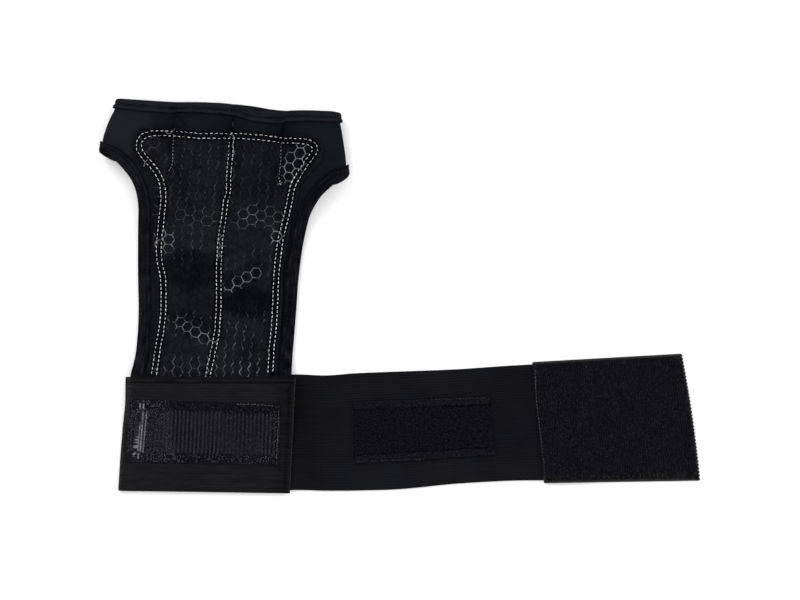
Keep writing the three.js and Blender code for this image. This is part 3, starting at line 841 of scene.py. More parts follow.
def nylonFinish(name, dye, addsPaintedGlare):
    f = Finish(name)
    place = f.placeMap()
    colour = f.dyed(f.painted() + f.mottled(place, 1.5, 1.2, 3.0), dye)
    # the hooks on the patch take the same painted glare
    if addsPaintedGlare:
        colour = withPaintedGlare(f, place, colour)
    return f.skin(colour, 0.45, f.bump(f.speckle(place, 0.3), 0.03), 0.08)


def pileFinish():
    f = Finish("loopPile")
    tufts = f.speckle(f.placeMap(), 1.0, 3.0)
    shade = f.painted() + (tufts - 0.5) * 1.5
    edge = f.dyed(shade, "pile", accents["pileEdge"])
    colour = f.tint(f.painted("selvage"), f.dyed(shade, "pile"), edge)
    return f.skin(colour, 0.95, f.bump(tufts, 0.35))


def threadFinish(name):
    f = Finish(name)
    place = f.placeMap()
    x, y, _ = f.parts(place)
    twist = f.wave((x + y) * 14.0)
    shade = f.ease(f.speckle(place, 2.4) + twist * 0.2, 0.38, 0.78)
    return f.skin(f.tint(shade, *dyes[name]), 0.6, f.bump(twist, 0.06), 0.08)


finishes = {
    "neoprene": neopreneFinish(),
    "tape": tapeFinish(),
    "pad": padFinish(),
    "line": lineFinish(),
    "elastic": elasticFinish(),
    "hookTape": hookTapeFinish("hookTapeWeave", "hookTape", "hook", 2.2, 2.2, True),
    "tabTape": hookTapeFinish("endTabWeave", "tabTape", "tabHook", 1.35, 2.0, False, "tabEdge"),
    "hook": nylonFinish("hookNylon", "hook", True),
    "tabHook": nylonFinish("endTabNylon", "tabHook", False),
    "pile": pileFinish(),
}
for kind in ("whiteThread", "blackThread", "dullThread", "seamThread", "loopThread"):
    finishes[kind] = threadFinish(kind)
print("materials ready")


# the front neoprene panel
panel = {
    "foldSteps": 10, "acrossSteps": 132, "bandSteps": 40, "palmSteps": 112,
    "bandWidth": 125,  # of the finger loops, about
    "pinch": 0.45, "pinchReach": 1.3,  # how far a seam pulls it in, and how wide
    "seamPaintedShade": 0.15, "paintedShadeReach": 1.2,  # the same for the painted shade in the seam's valley
    "tone": 0.55,
    "tones": [  # painted light and shade where light falls on the loops and in a crease: x, y, turn, half length, half width, strength
        (-150, 92, 75, 16, 12, 0.32), (-48, 88, 80, 20, 12, 0.08), (-112, 98, 0, 18, 6, -0.02),
        (-78, 97, 0, 14, 6, 0.03), (-119.4, 96.0, -55, 7, 0.8, -0.2), (-62, 0, 90, 60, 5, -0.12),
    ],
}


# how far a point of the finger loops is from the nearest seam, about in millimetres
def awayFromSeam(x, row):
    leftX, _, rightX, *_ = band(row)
    share = (x - leftX) / (rightX - leftX)
    away = min(abs(share - lerp(top, bottom, row)) for top, bottom in hand["seamShares"])
    return away * panel["bandWidth"]


def panelPlace(across, row):
    point = handPoint(across, row)
    point.z += ripple(point.x, point.y, 14, hand["crumple"], 1) * outOfFold(across)
    if row < 1:
        pinched = bell(awayFromSeam(point.x, row), panel["pinchReach"])
        point.z -= panel["pinch"] * pinched * (1 - 0.5 * row)
    return point


# the panel's tone, with painted light and shade on the loops and painted shade in the valleys of their
# seams
def panelShade(across, row, point):
    tone = panel["tone"] + spotSum(panel["tones"], point.x, point.y)
    if row < 1:
        tone -= panel["seamPaintedShade"] * bell(awayFromSeam(point.x, row), panel["paintedShadeReach"])
    return tone


def makePanel():
    v = joined((0, 1, panel["bandSteps"]), (1, 2, panel["palmSteps"]))

    def keep(uAt, vAt):
        return vAt < 1 - 1e-6 or foldShare - 1e-6 <= uAt < 1 - foldShare - 1e-6

    bm = clothGrid(acrossStops(panel), v, panelPlace, panelShade, keep, smooth=2)
    piece = makePiece("palmPanel", bm, "palm_panel", "neoprene", "neoprene")
    middle = Surface(piece)
    thicken(piece, cloth["neoprene"])
    return piece, middle


palmPanel, panelMiddle = makePanel()
print("palm panel", len(palmPanel.data.polygons))


# the grip pad and its honeycomb lines
pad = {
    "rows": [  # left x, y, right x, y
        (-137.5, 94.0, -52.5, 89.3), (-143.6, 92.6, -46.3, 87.6), (-147.2, 89.0, -43.2, 83.6),
        (-148.3, 83.2, -42.6, 79.0), (-147.5, 79.0, -44.0, 74.6), (-143.0, 72.6, -49.8, 67.6),
        (-139.0, 68.3, -55.0, 60.0), (-136.2, 63.0, -57.3, 51.5), (-135.2, 54.0, -60.3, 43.4),
        (-136.2, 43.0, -61.2, 36.8), (-137.6, 27.0, -63.4, 26.0), (-136.2, 12.0, -64.9, 12.0),
        (-135.3, -3.0, -65.5, -3.0), (-136.1, -17.0, -66.3, -17.0), (-139.2, -34.0, -67.9, -34.0),
        (-140.8, -44.0, -68.4, -44.0), (-141.4, -51.0, -68.8, -51.0),
    ],
    "length": 140,  # about, as is the width
    "width": 80,
    "acrossSteps": 130,
    "downSteps": 180,
    "outlineSteps": 80,
    "stitchSink": 0.6,  # how far a line of stitches sinks in, and how wide
    "stitchReach": 0.9,
    "stitchPaintedShade": (0.8, 1.1),  # the same for the painted shade in that groove
    "tone": 0.52,
    "tones": [  # painted light and shade where the pad swells and folds, and painted light in the deep seam at its top: x, y, turn, half length, half width, strength
        (-116, 14.0, 0, 17, 12, -0.26), (-80, 66, 0, 14, 18, -0.08), (-83, -3.5, 6, 17, 9, -0.34),
        (-106, 32, 0, 20, 8, 0.12),
        (-78, 36, 0, 18, 8, 0.05), (-58, 74, 60, 16, 10, -0.2), (-112, -32, 0, 18, 10, 0.12),
        (-95.5, 76, 88, 15, 2.0, 0.45), (-115, -16, -25, 18, 8, -0.16), (-86, 11, 25, 14, 7, -0.16),
        (-120, -36, 0, 14, 9, -0.14), (-80, -34, 0, 12, 10, -0.1),
    ],
}
honeycomb = {
    "centre": (-85.1, 10.6),
    "columns": (-15, 13),
    "rows": (-14, 19),
    "columnPitch": 4.81,
    "rowPitch": 5.34,
    "turn": -5.15,  # degrees
    "mergeWithin": 0.2,
    "lineWidth": 0.46,
    "lineHeight": 0.26,
    "lineLift": 0.07,
    # how much darker than the pad the lines are painted, a painted shade that keeps their raised tops from
    # looking lit
    "linePaintedShade": 0.12,
    "dimBelow": 0.4,
    "uneven": (0.6, 0.22),  # by how much the painted highlight of a side varies, in dim cells and in others
    "sideUneven": (0.1, 2.0, 1.8),  # the same for the cells painted lit on their slanting sides: from, to, and the power of the draw
    "rim": 0.5,  # how far inside the pad's edge the lines stop
    "pulls": [  # where the cloth has stretched the cells: x, y, shift x, shift y, reach
        (-57, 73, -1.3, -1.8, 12), (-113, -21, -1.6, 2.0, 13), (-128, 32, -1.9, -1.7, 10),
        (-118, 44, -1.3, -0.6, 14), (-83, -31, -1.9, -3.0, 18),
    ],
    "lit": [  # cells given a painted highlight on every side: x, y, turn, half length, half width, strength
        (-58.4, 74.0, 66, 12.4, 6.0, 0.75), (-110.0, 43.0, -8, 17, 6, 0.17), (-85.0, 42.5, 4, 9, 6, 0.2),
        (-76.0, 44.5, -8, 15, 7, 0.2), (-68.8, 33.0, 84, 7, 3.4, 0.7), (-128.6, 31.0, 86, 8, 3.6, 0.6),
        (-99.6, 28.0, 82, 8, 2.4, 0.62), (-137.0, 55.0, 88, 9, 2.4, 0.5),
        (-80.1, 12.9, 0, 3.5, 3.5, 0.52), (-85.2, 10.4, 0, 3.5, 3.5, 0.58), (-90.2, 7.6, 0, 3.5, 3.5, 0.55),
        (-95.0, 5.0, 0, 3.5, 3.5, 0.6), (-123.0, -14.8, 0, 3.6, 3.6, 0.3),
        (-118.6, -17.4, 0, 3.6, 3.6, 0.45), (-113.8, -20.3, 0, 3.5, 3.5, 0.62),
        (-108.9, -23.1, 0, 3.5, 3.5, 0.72), (-104.6, -26.0, 0, 3.2, 3.2, 0.45),
        (-114.0, -41.0, 4, 22, 5, 0.09), (-137.5, 28, 88, 12, 2.0, 0.5),
        (-140.0, 84.0, 0, 9, 6, 0.12), (-61.0, 20.0, 86, 14, 2.2, 0.25),
    ],
    "sideLit": [  # cells given a painted highlight on their slanting sides alone
        (-112.0, 66.0, 0, 26, 24, 0.09), (-81.0, 66.0, 0, 22, 26, 0.06), (-82.0, 18.0, 0, 18, 12, 0.09),
        (-84.0, -27.0, 0, 17, 22, 0.19), (-118.0, -16.0, 0, 20, 8, 0.17), (-120.0, 30.0, 0, 16, 14, 0.12),
        (-112.0, -40.0, 0, 30, 8, 0.24), (-84.0, -41.0, 0, 15, 5, 0.26),
    ],
}
padEdge = sections(pad["rows"])
padLift = cloth["neoprene"] / 2 + cloth["gap"] + cloth["padSheet"] / 2


def padPlace(u, v):
    leftX, leftY, rightX, rightY = padEdge(v)
    x, y = lerp(leftX, rightX, u), lerp(leftY, rightY, u)
    sink = pad["stitchSink"] * bell(fromStitching(x, y), pad["stitchReach"])
    return panelMiddle.place(x, y, padLift - sink)


# the pad's tone, with painted light and shade from its swells and folds and painted shade in the grooves of
# its stitching
def padShade(u, v, point):
    tone = pad["tone"] + spotSum(pad["tones"], point.x, point.y)
    depth, reach = pad["stitchPaintedShade"]
    return tone - depth * bell(fromStitching(point.x, point.y), reach)


def makePad():
    u, v = steps(0, 1, pad["acrossSteps"]), steps(0, 1, pad["downSteps"])
    bm = clothGrid(u, v, padPlace, padShade, smooth=1)
    return makeSheet("gripPad", bm, "grip_pad", "grip_pad", "pad", cloth["padSheet"])


gripPad = makePad()
padTop = Surface(gripPad)
print("grip pad", len(gripPad.data.polygons))


# the pad's edge in the plan, a little inside it
def padOutline(inset):
    left, right = [], []
    ofLength, ofWidth = inset / pad["length"], inset / pad["width"]
    for v in steps(ofLength, 1 - ofLength, pad["outlineSteps"]):
        leftX, leftY, rightX, rightY = padEdge(v)
        left.append((leftX + inset, lerp(leftY, rightY, ofWidth)))
        right.append((rightX - inset, lerp(rightY, leftY, ofWidth)))
    return left + right[::-1]


def isInside(x, y, outline):
    inside = False
    for (ax, ay), (bx, by) in zip(outline, outline[1:] + outline[:1]):
        if (ay > y) != (by > y) and x < (bx - ax) * (y - ay) / (by - ay) + ax:
            inside = not inside
    return inside


# a net of six-sided cells, pulled out of true as the cloth is
def hexNet():
    side = honeycomb["columnPitch"] / 1.5
    flat = math.sqrt(3) * side
    bm = bmesh.new()
    bm.faces.layers.float.new("paintedHighlight")
    bm.verts.layers.float.new("shade")
    for column in range(*honeycomb["columns"]):
        for row in range(*honeycomb["rows"]):
            cell = bmesh.ops.create_circle(bm, cap_ends=True, segments=6, radius=side)["verts"]
            bmesh.ops.rotate(bm, verts=cell, matrix=Matrix.Rotation(math.radians(30), 3, "Z"))
            place = (column * honeycomb["columnPitch"], (row + column % 2 / 2) * flat, 0)
            bmesh.ops.translate(bm, verts=cell, vec=place)
    bmesh.ops.scale(bm, verts=bm.verts, vec=(1, honeycomb["rowPitch"] / flat, 1))
    turn = Matrix.Rotation(math.radians(honeycomb["turn"]), 3, "Z")
    bmesh.ops.rotate(bm, verts=bm.verts, matrix=turn)
    bmesh.ops.translate(bm, verts=bm.verts, vec=(*honeycomb["centre"], 0))
    bmesh.ops.remove_doubles(bm, verts=bm.verts, dist=honeycomb["mergeWithin"])
    for vert in bm.verts:
        x, y, _ = vert.co
        for atX, atY, shiftX, shiftY, reach in honeycomb["pulls"]:
            near = bell(math.dist((x, y), (atX, atY)), reach)
            x, y = x + shiftX * near, y + shiftY * near
        vert.co = (x, y, 0)
    return bm


# each cell is inset so that a line of even width is left between the cells, and each side
# gets the strength of its painted highlight; then the lines are laid on the pad
def makeLines():
    outline = padOutline(honeycomb["rim"])
    dice = random.Random(4)
    bm = hexNet()
    sides = {}
    halves = bmesh.ops.subdivide_edges(bm, edges=bm.edges, cuts=1)["geom_split"]
    for edge in halves:
        if isinstance(edge, bmesh.types.BMEdge):
            sides[frozenset(edge.verts)] = (dice.random(), dice.random())
    cells = list(bm.faces)
    paintedHighlight = bm.faces.layers.float["paintedHighlight"]
    bmesh.ops.inset_individual(bm, faces=cells, thickness=honeycomb["lineWidth"] / 2, use_even_offset=True)
    bmesh.ops.delete(bm, geom=cells, context="FACES_ONLY")
    spare = []
    for wall in bm.faces:
        if not all(isInside(*vert.co.xy, outline) for vert in wall.verts):
            spare.append(wall)
            continue
        side = next((edge for edge in wall.edges if frozenset(edge.verts) in sides), wall.edges[0])
        broad, fine = sides.get(frozenset(side.verts), (0.5, 0.5))
        a, b = side.verts[0].co, side.verts[1].co
        slants = abs(a.y - b.y) > abs(a.x - b.x) * 0.6
        middle = (a + b) / 2
        # the painted highlight of this side: from the spots, varied by chance, with more on slanting sides
        # where those spots say
        light = spotSum(honeycomb["lit"], middle.x, middle.y)
        light *= 1 + honeycomb["uneven"][light >= honeycomb["dimBelow"]] * (2 * fine - 1)
        if slants:
            low, high, power = honeycomb["sideUneven"]
            light += spotSum(honeycomb["sideLit"], middle.x, middle.y) * lerp(low, high, broad ** power)
        wall[paintedHighlight] = clamp(light)
    bmesh.ops.delete(bm, geom=spare, context="FACES")
    # the lines take the pad's tone with its painted light and shade, painted darker still by the lines' own
    # painted shade
    shade = bm.verts.layers.float["shade"]
    for vert in bm.verts:
        vert[shade] = clamp(padShade(0, 0, vert.co) - honeycomb["linePaintedShade"])
        vert.co = padTop.place(*vert.co.xy, honeycomb["lineLift"]) * mm
    piece = makePiece("gripLines", bm, None, "grip_pad", "line")
    thicken(piece, honeycomb["lineHeight"], rounding=0, offset=0.4)
    return piece


gripLines = makeLines()
print("honeycomb lines", len(gripLines.data.polygons))


# the strip behind the fingers
strip = {"foldSteps": 10, "acrossSteps": 96, "rowSteps": 32, "crumple": 0.12}


def stripPlace(across, row):
    point = stripPoint(across, row)
    point.z += abs(ripple(point.x, point.y, 12, strip["crumple"], 3)) * outOfFold(across)
    return point


def makeStrip():
    bm = clothGrid(acrossStops(strip), steps(0, 1, strip["rowSteps"]), stripPlace)
    return makeSheet("fingerStrip", bm, "finger_strip", "neoprene", "neoprene", cloth["neoprene"])


fingerStrip = makeStrip()
print("finger strip", len(fingerStrip.data.polygons))


# the edging tapes
edging = {
    "lapSteps": 12,
    "bendSteps": 8,
    "mouthSteps": 330,
    "sideSteps": 400,
    "cornerTurns": 2,
    "lookAhead": 0.004,  # along the edge, for its heading
    "valley": 0.45,  # how far the sewing pulls the tape in
    "pucker": 0.16,
    "stitchPitch": 2.5,
    "stitchSize": (1.6, 0.85, 0.46),
    "creases": (0.07, 0.16),  # how deep, and how strong the painted light and shade on them
    "mouthStitch": 0.40,  # the share of the lap at which it is sewn
    "sideStitch": 0.57,
    "mouthTone": (0.74, 0.74),  # at the glove's left, at its right
    "sideTone": (0.46, 0.33),
}
bandEdgeRun = 1 + 2 * foldShare


def mouthEdge(v):
    inFront = v <= 1
    point = frontBandPoint if inFront else stripPoint
    across = v if inFront else 2 - v
    normal = facing(point, clamp(across, 0.001, 0.999), 0.001)
    return point(across, 0), normal if inFront else -normal, point(across, 0.1), 1


def lowerEdge(v):
    if v < 1 or v > 2:
        across = foldShare if v < 1 else 1 - foldShare
        row = 2 - v if v < 1 else v - 1
        place = handPoint(across, row)
        return place, facing(handPoint, across, row), place.copy(), 0
    around = foldShare - (v - 1) * bandEdgeRun
    inFront = around >= 0 or around <= -1
    point = frontBandPoint if inFront else stripPoint
    across = -around
    if inFront:
        across = around if around >= 0 else around + 2
    normal = facing(point, clamp(across, 0.001, 0.999), 0.999)
    fromCorner = foldShare - min(across, 1 - across)
    alongRows = clamp(edging["cornerTurns"] * fromCorner / foldShare) if inFront else 1
    return point(across, 1), normal if inFront else -normal, point(across, 0.8), alongRows


# the tape's own place function, its shade, and the line on its top along which it is sewn
def edgingRules(edge, stops, lap, sewn, brightness):
    level = cloth["boundHalf"] - cloth["tape"] / 2
    reach = cloth["edgeReach"] - cloth["tape"] / 2
    first, last = stops[0], stops[-1]
    frames, length, before = {}, 0.0, None
    for at in stops:
        place, normal, nextRow, alongRows = edge(at)
        ahead = edge(min(at + edging["lookAhead"], last))[0]
        behind = edge(max(at - edging["lookAhead"], first))[0]
        square = (ahead - behind).cross(normal).normalized()
        inwards = square.lerp((nextRow - place).normalized(), alongRows).normalized()
        length += (place - before).length if before else 0
        before = place
        frames[at] = (place, normal, square, inwards, length)

    def lapAt(u):
        return lap * (1 - min(u, 1, 3 - u))

    def creaseAt(lapped, length):
        return math.sin(lapped * 4.2 + ripple(length, 0, 30, 3, 6))

    def point(u, v):
        place, normal, square, inwards, length = frames[v]
        angle = math.pi * clamp(u - 1)
        lapped = lapAt(u)
        pucker = edging["pucker"] * math.sin(2 * math.pi * length / edging["stitchPitch"])
        onLap = smoothstep(lapped, 0, 1.2)
        creases = edging["creases"][0] * creaseAt(lapped, length)
        lift = level - (edging["valley"] - pucker) * bell(lapped - lap * sewn, 0.75) * onLap
        lift += creases * onLap
        lift += ripple(length, u * 3, 9, 0.2, 5)
        return (
            place + inwards * lapped - square * reach * math.sin(angle)
            + normal * (lift * math.cos(angle))
        )

    # the tape's tone, with painted light and shade on its creases, painted shade in the valley along its
    # sewing and a painted shadow along its inner edge
    def shade(u, v, place):
        lapped, length = lapAt(u), frames[v][4]
        tone = lerp(*brightness, smoothstep(place.x, -110, -60))
        tone += edging["creases"][1] * creaseAt(lapped, length)
        tone += ripple(length, lapped, 5, 0.4, 7) + 0.16 * smoothstep(lapped, lap * 0.5, lap * 0.7)
        return tone - 0.3 * bell(lapped - lap * sewn, 0.8) - 0.6 * smoothstep(lapped, lap - 0.8, lap)

    def sewnLine():
        run = []
        for at in stops:
            place, normal, square, inwards, _ = frames[at]
            spot = place + inwards * (lap * sewn) + normal * (level + cloth["tape"] / 2 - 0.25)
            run.append((spot, normal))
        return run

    return point, shade, sewnLine()


def makeEdging(name, node, edge, stops, lap, sewn, brightness):
    laps = edging["lapSteps"]
    u = joined((0, 1, laps), (1, 2, edging["bendSteps"]), (2, 3, laps))
    point, shade, sewnLine = edgingRules(edge, stops, lap, sewn, brightness)
    bm = clothGrid(u, stops, point, shade)
    return makeSheet(name, bm, node, "edging", "tape", cloth["tape"], rounding=0.25), sewnLine


mouthBinding, mouthSewn = makeEdging(
    "mouthBinding", "mouth_binding", mouthEdge, steps(0, 2, edging["mouthSteps"]),
    cloth["mouthLap"], edging["mouthStitch"], edging["mouthTone"],
)
sideBinding, sideSewn = makeEdging(
    "sideBinding", "side_binding", lowerEdge, steps(0, 3, edging["sideSteps"]),
    cloth["sideLap"], edging["sideStitch"], edging["sideTone"],
)
print("edging tapes", len(mouthBinding.data.polygons), len(sideBinding.data.polygons))


# the wrist wrap
wrap = {
    "foldKeys": (0.0, 0.24, 0.43, 0.7, 1.0),
    "foldX": (-151.8, -152.1, -153.4, -154.8, -156.0),
    "flapTop": (-57.9, -45.1, -44.8),  # hem x, hem y, fold y
    "flapBottom": (-61.2, -109.6, -108.2),
    "height": 64.0,
    "flapWidth": 94,
    "hemWidth": 2.8,
    "hemSheet": 2.2,
    "flapHigh": 8.1,
    "flapDrop": (0.24, 0.55),
    "flapHollow": 0.7,
    "topHem": 3.0,
    "strap": [  # x, top edge, bottom edge
        (-153.0, -45.3, -108.4), (-105.0, -44.9, -108.8), (-57.0, -43.8, -107.8),
        (-41.0, -44.3, -108.2), (-25.0, -43.1, -108.1), (0.0, -42.1, -107.3),
        (31.0, -40.9, -104.3), (62.0, -38.8, -102.6), (82.0, -37.9, -102.4), (98.0, -37.8, -102.2),
    ],
    "ribs": 43,
    "ribDepth": 0.1,
    "ribSteps": 4,
    "hemSteps": 6,
    "flapSteps": 46,
    "foldSteps": 12,
    "strapSteps": 90,
    "flapTone": 0.66,
    "strapTones": (0.47, 0.4),  # by the hand piece, and further right
}
wrap["strapLevel"] = cloth["elastic"] / 2
wrap["flapLow"] = cloth["elastic"] + cloth["gap"] + wrap["hemSheet"] / 2
wrap["hemShare"] = wrap["hemWidth"] / wrap["flapWidth"]
foldX = reader(wrap["foldKeys"], wrap["foldX"])
strapXs, strapTops, strapBottoms = zip(*wrap["strap"])
strapTop, strapBottom = reader(strapXs, strapTops), reader(strapXs, strapBottoms)
strapEnd = strapXs[-1]


def flapLevel(across, down):
    sag = wrap["flapHollow"] * math.sin(math.pi * clamp(across))
    return lerp(wrap["flapHigh"] - sag, wrap["flapLow"], smoothstep(down, *wrap["flapDrop"]))


def wrapPoint(u, v):
    radius = (flapLevel(0, v) - wrap["strapLevel"]) / 2
    turned = foldX(v) + radius
    if u <= 1:
        across = 1 - u
        hemX = lerp(wrap["flapTop"][0], wrap["flapBottom"][0], v)
        top = lerp(wrap["flapTop"][2], wrap["flapTop"][1], across)
        bottom = lerp(wrap["flapBottom"][2], wrap["flapBottom"][1], across)
        return Vector((lerp(turned, hemX, across), lerp(top, bottom, v), flapLevel(across, v)))

    def strapY(x):
        return lerp(strapTop(x), strapBottom(x), v)

    if u < 2:
        angle = math.pi * (u - 1)
        flapY = lerp(wrap["flapTop"][2], wrap["flapBottom"][2], v)
        z = wrap["strapLevel"] + radius * (1 + math.cos(angle))
        return Vector((turned - radius * math.sin(angle), lerp(flapY, strapY(turned), u - 1), z))
    x = lerp(turned, strapEnd, u - 2)
    return Vector((x, strapY(x), wrap["strapLevel"]))


def wrapPlace(u, v):
    point = wrapPoint(u, v)
    rib = wrap["ribDepth"] * math.cos(2 * math.pi * wrap["ribs"] * v)
    down = v * wrap["height"]
    if u < 1:
        point.z += rib + ripple(point.x, point.y, 22, 0.3, 8) * u
        point.z -= 0.35 * bell(down - wrap["topHem"], 0.5)
        point.z += 0.3 * (1 - smoothstep(u, wrap["hemShare"], wrap["hemShare"] * 1.3))
    elif u > 2:
        swing = abs(ripple(point.x, point.y, 26, 0.35, 9)) * clamp((u - 2) * 20)
        point.z += rib + wrap["ribDepth"] + swing
    return point


# the wrap's tone: on the flap, painted shade in the groove by the top hem, darker along its top edge and by
# its hem; on the strap, a painted shadow of the flap's edge
def wrapShade(u, v, point):
    down = v * wrap["height"]
    if u < 1.5:
        tone = wrap["flapTone"] - 0.6 * bell(down - wrap["topHem"], 0.6) - 0.45 * bell(down - 0.7, 0.6)
        tone += ripple(point.x / 6, point.y, 1.6, 0.3, 16)
        tone -= 0.3 * bell(u - wrap["hemShare"], 0.006)
        return tone - 0.17 * (1 - smoothstep(u, 0.08, 0.14))
    tone = lerp(*wrap["strapTones"], smoothstep(point.x, 20, 60)) + 0.1 * smoothstep(v, 0.7, 0.95)
    # a painted shadow cast by the flap's raised edge on the strap beside it
    return tone - 0.14 * bell(point.x + 52, 12)


# a lighter rim along the flap's fold and along its hem's edge: partly light fibres and selvage, partly a
# painted highlight where the fold and the edge round over
def wrapFringeAndHighlight(u, v, point):
    fold = 0.6 * bell(u - 1.2, 0.13) * (0.6 + ripple(point.y, 0, 1.3, 0.9, 13))
    return clamp(fold) + 0.75 * bell(u, 0.0045) * (0.75 + ripple(point.y, 0, 1.7, 0.8, 14))


def makeWrap():
    hem = wrap["hemShare"]
    flap = (0, hem, wrap["hemSteps"]), (hem, 1, wrap["flapSteps"])
    u = joined(*flap, (1, 2, wrap["foldSteps"]), (2, 3, wrap["strapSteps"]))
    v = steps(0, 1, wrap["ribs"] * wrap["ribSteps"])
    bm = clothGrid(u, v, wrapPlace, wrapShade, extra={"fringeAndHighlight": wrapFringeAndHighlight})
    bmesh.ops.reverse_faces(bm, faces=bm.faces)
    return makeSheet("wristWrap", bm, "wrist_wrap", "elastic", "elastic", cloth["elastic"], rounding=0.4)


wristWrap = makeWrap()
wrapTop = Surface(wristWrap)
print("wrist wrap", len(wristWrap.data.polygons))


# hook and loop tapes
plainTape = {  # what holds where a tape below says nothing else
    "slot": "hook_tape",
    "bow": 0.0,  # how far the right end bows out
    "zigzag": 0.0,  # how deep its teeth are
    "upper": 0.0,  # how much lighter the top border is than the other one
    "rim": 0.0, "rimReach": 0.4,  # how much lighter the rim is, and how wide
    "weave": (0.0, 0.0),  # how broken the ridges are, inside and in the borders
    "upperWeave": 1.0,  # times that in the top border
    "brokenEnds": (0, 0),  # how wide they are broken at the left and right ends
    "plain": (0, 0, 0),  # woven bands at the top, bottom and right, the last two without strands
    "plainness": 0.0,
    "strandTones": [],
}
# thickness is the woven backing's alone; tones are those inside and in the borders; border is
# the way from the edges to the strands, at top and bottom and at the sides; rows are their pitches
tapes = {
    "hookPatch": {
        **plainTape, "node": "hook_patch", "finish": "hookTape",
        "top": ((-150.0, -57.3), (-66.3, -60.4)), "bottom": ((-152.5, -92.1), (-67.6, -94.0)),
        "thickness": 0.6, "steps": (84, 36), "tones": (0.43, 0.28), "upper": -0.5, "rim": 0.1,
        "border": (5.6, 2.2), "rows": (2.2, 0.8), "weave": (0.1, 1.0), "upperWeave": 0.42,
        "brokenEnds": (15.0, 5.5),
        "strandTones": [(-88, -76, 0, 17, 14, -0.3), (-138, -76, 90, 18, 12, -0.25)],
    },
    "loopPatch": {
        **plainTape, "node": "loop_patch", "slot": "loop_tape", "finish": "pile",
        "top": ((-25.9, -58.7), (49.8, -55.9)), "bottom": ((-25.3, -93.2), (52.9, -88.4)),
        "thickness": 1.1, "steps": (78, 36), "tones": (0.32, 0.42),
        "border": (4.8, 1.6), "rows": (1.25, 1.25), "plain": (5.0, 5.2, 0), "plainness": 0.25,
    },
    "endTab": {
        **plainTape, "node": "end_tab", "finish": "tabTape",
        "top": ((73.5, -36.7), (156.7, -32.0)), "bottom": ((80.1, -104.1), (166.9, -102.7)),
        "thickness": 1.0, "steps": (96, 72), "bow": 0.9, "zigzag": 0.45,
        "tones": (0.38, 0.54), "upper": 0.14, "rim": 0.5, "rimReach": 0.9,
        "border": (2.4, 1.6), "rows": (1.35, 1.25), "weave": (0.5, 0.4),
        "plain": (1.8, 4.6, 2.0), "plainness": 0.9,
        "drop": (99.0, 112.0),  # where it comes down off the strap
    },
}


def tapePlan(shape, u, v):
    (ax, ay), (bx, by) = shape["top"]
    (cx, cy), (dx, dy) = shape["bottom"]
    x = lerp(lerp(ax, bx, u), lerp(cx, dx, u), v) + shape["bow"] * 4 * v * (1 - v) * u ** 4
    return x, lerp(lerp(ay, by, u), lerp(cy, dy, u), v)


def tapeSize(shape):
    corners = [Vector(tapePlan(shape, u, v)) for u, v in ((0, 0.5), (1, 0.5), (0.5, 0), (0.5, 1))]
    return (corners[1] - corners[0]).length, (corners[3] - corners[2]).length


def makeTape(name, level):
    shape = tapes[name]
    width, height = tapeSize(shape)
    across, down = shape["steps"]

    def place(u, v):
        x, y = tapePlan(shape, u, v)
        x += shape["zigzag"] * (1 if round(v * down) % 2 else -1) * u ** 40
        return Vector((x, y, level(x, y) + ripple(x, y, 1.6, 0.08, 15)))

    def nearBorder(u, v):
        fromTop, fromSide = min(v, 1 - v) * height, min(u, 1 - u) * width
        atTop = 1 - smoothstep(fromTop, shape["border"][0] - 1, shape["border"][0])
        return atTop, fromTop, min(fromTop, fromSide)

    def shade(u, v, point):
        atTop, fromTop, fromRim = nearBorder(u, v)
        tone = lerp(*shape["tones"], atTop) - 0.2 * bell(fromTop - shape["border"][0] + 0.3, 0.5)
        tone += shape["upper"] * atTop * (v < 0.5)
        return tone + shape["rim"] * bell(fromRim, shape["rimReach"])

    def weave(u, v, point):
        ends = [
            1 - smoothstep(fromEnd * width, zone * 0.5, zone) if zone else 0
            for fromEnd, zone in zip((u, 1 - u), shape["brokenEnds"])
        ]
        atTop, _, fromRim = nearBorder(u, v)
        atTop *= shape["upperWeave"] if v < 0.5 else 1
        return lerp(*shape["weave"], max(atTop, *ends)) * (1 - bell(fromRim, shape["rimReach"]))

    def selvage(u, v, point):
        edges = zip((v * height, (1 - v) * height, (1 - u) * width), shape["plain"])
        return shape["plainness"] * max(
            1 - smoothstep(away, zone - 0.9, zone) if zone else 0 for away, zone in edges
        )

    stops = steps(0, 1, across), steps(0, 1, down)
    bm = clothGrid(*stops, place, shade, smooth=1, extra={"weave": weave, "selvage": selvage})
    return makeSheet(name, bm, shape["node"], shape["slot"], shape["finish"], shape["thickness"])


def hookLevel(x, y):
    return wrapTop.level(x, y) + cloth["gap"] + tapes["hookPatch"]["thickness"] / 2


def loopLevel(x, y):
    base = cloth["elastic"] + cloth["gap"] + wrap["ribDepth"] * 2
    return base + tapes["loopPatch"]["thickness"] / 2 + ripple(x, y, 20, 0.2, 11)


def tabLevel(x, y):
    shape = tapes["endTab"]
    onStrap = cloth["elastic"] + cloth["gap"] + shape["thickness"] / 2
    onGround = smoothstep(x, *shape["drop"])
    return lerp(onStrap, shape["thickness"] / 2 + 0.1, onGround) + abs(ripple(x, y, 24, 0.5, 12))


hookPatch = makeTape("hookPatch", hookLevel)
loopPatch = makeTape("loopPatch", loopLevel)
endTab = makeTape("endTab", tabLevel)
print("hook and loop tapes")


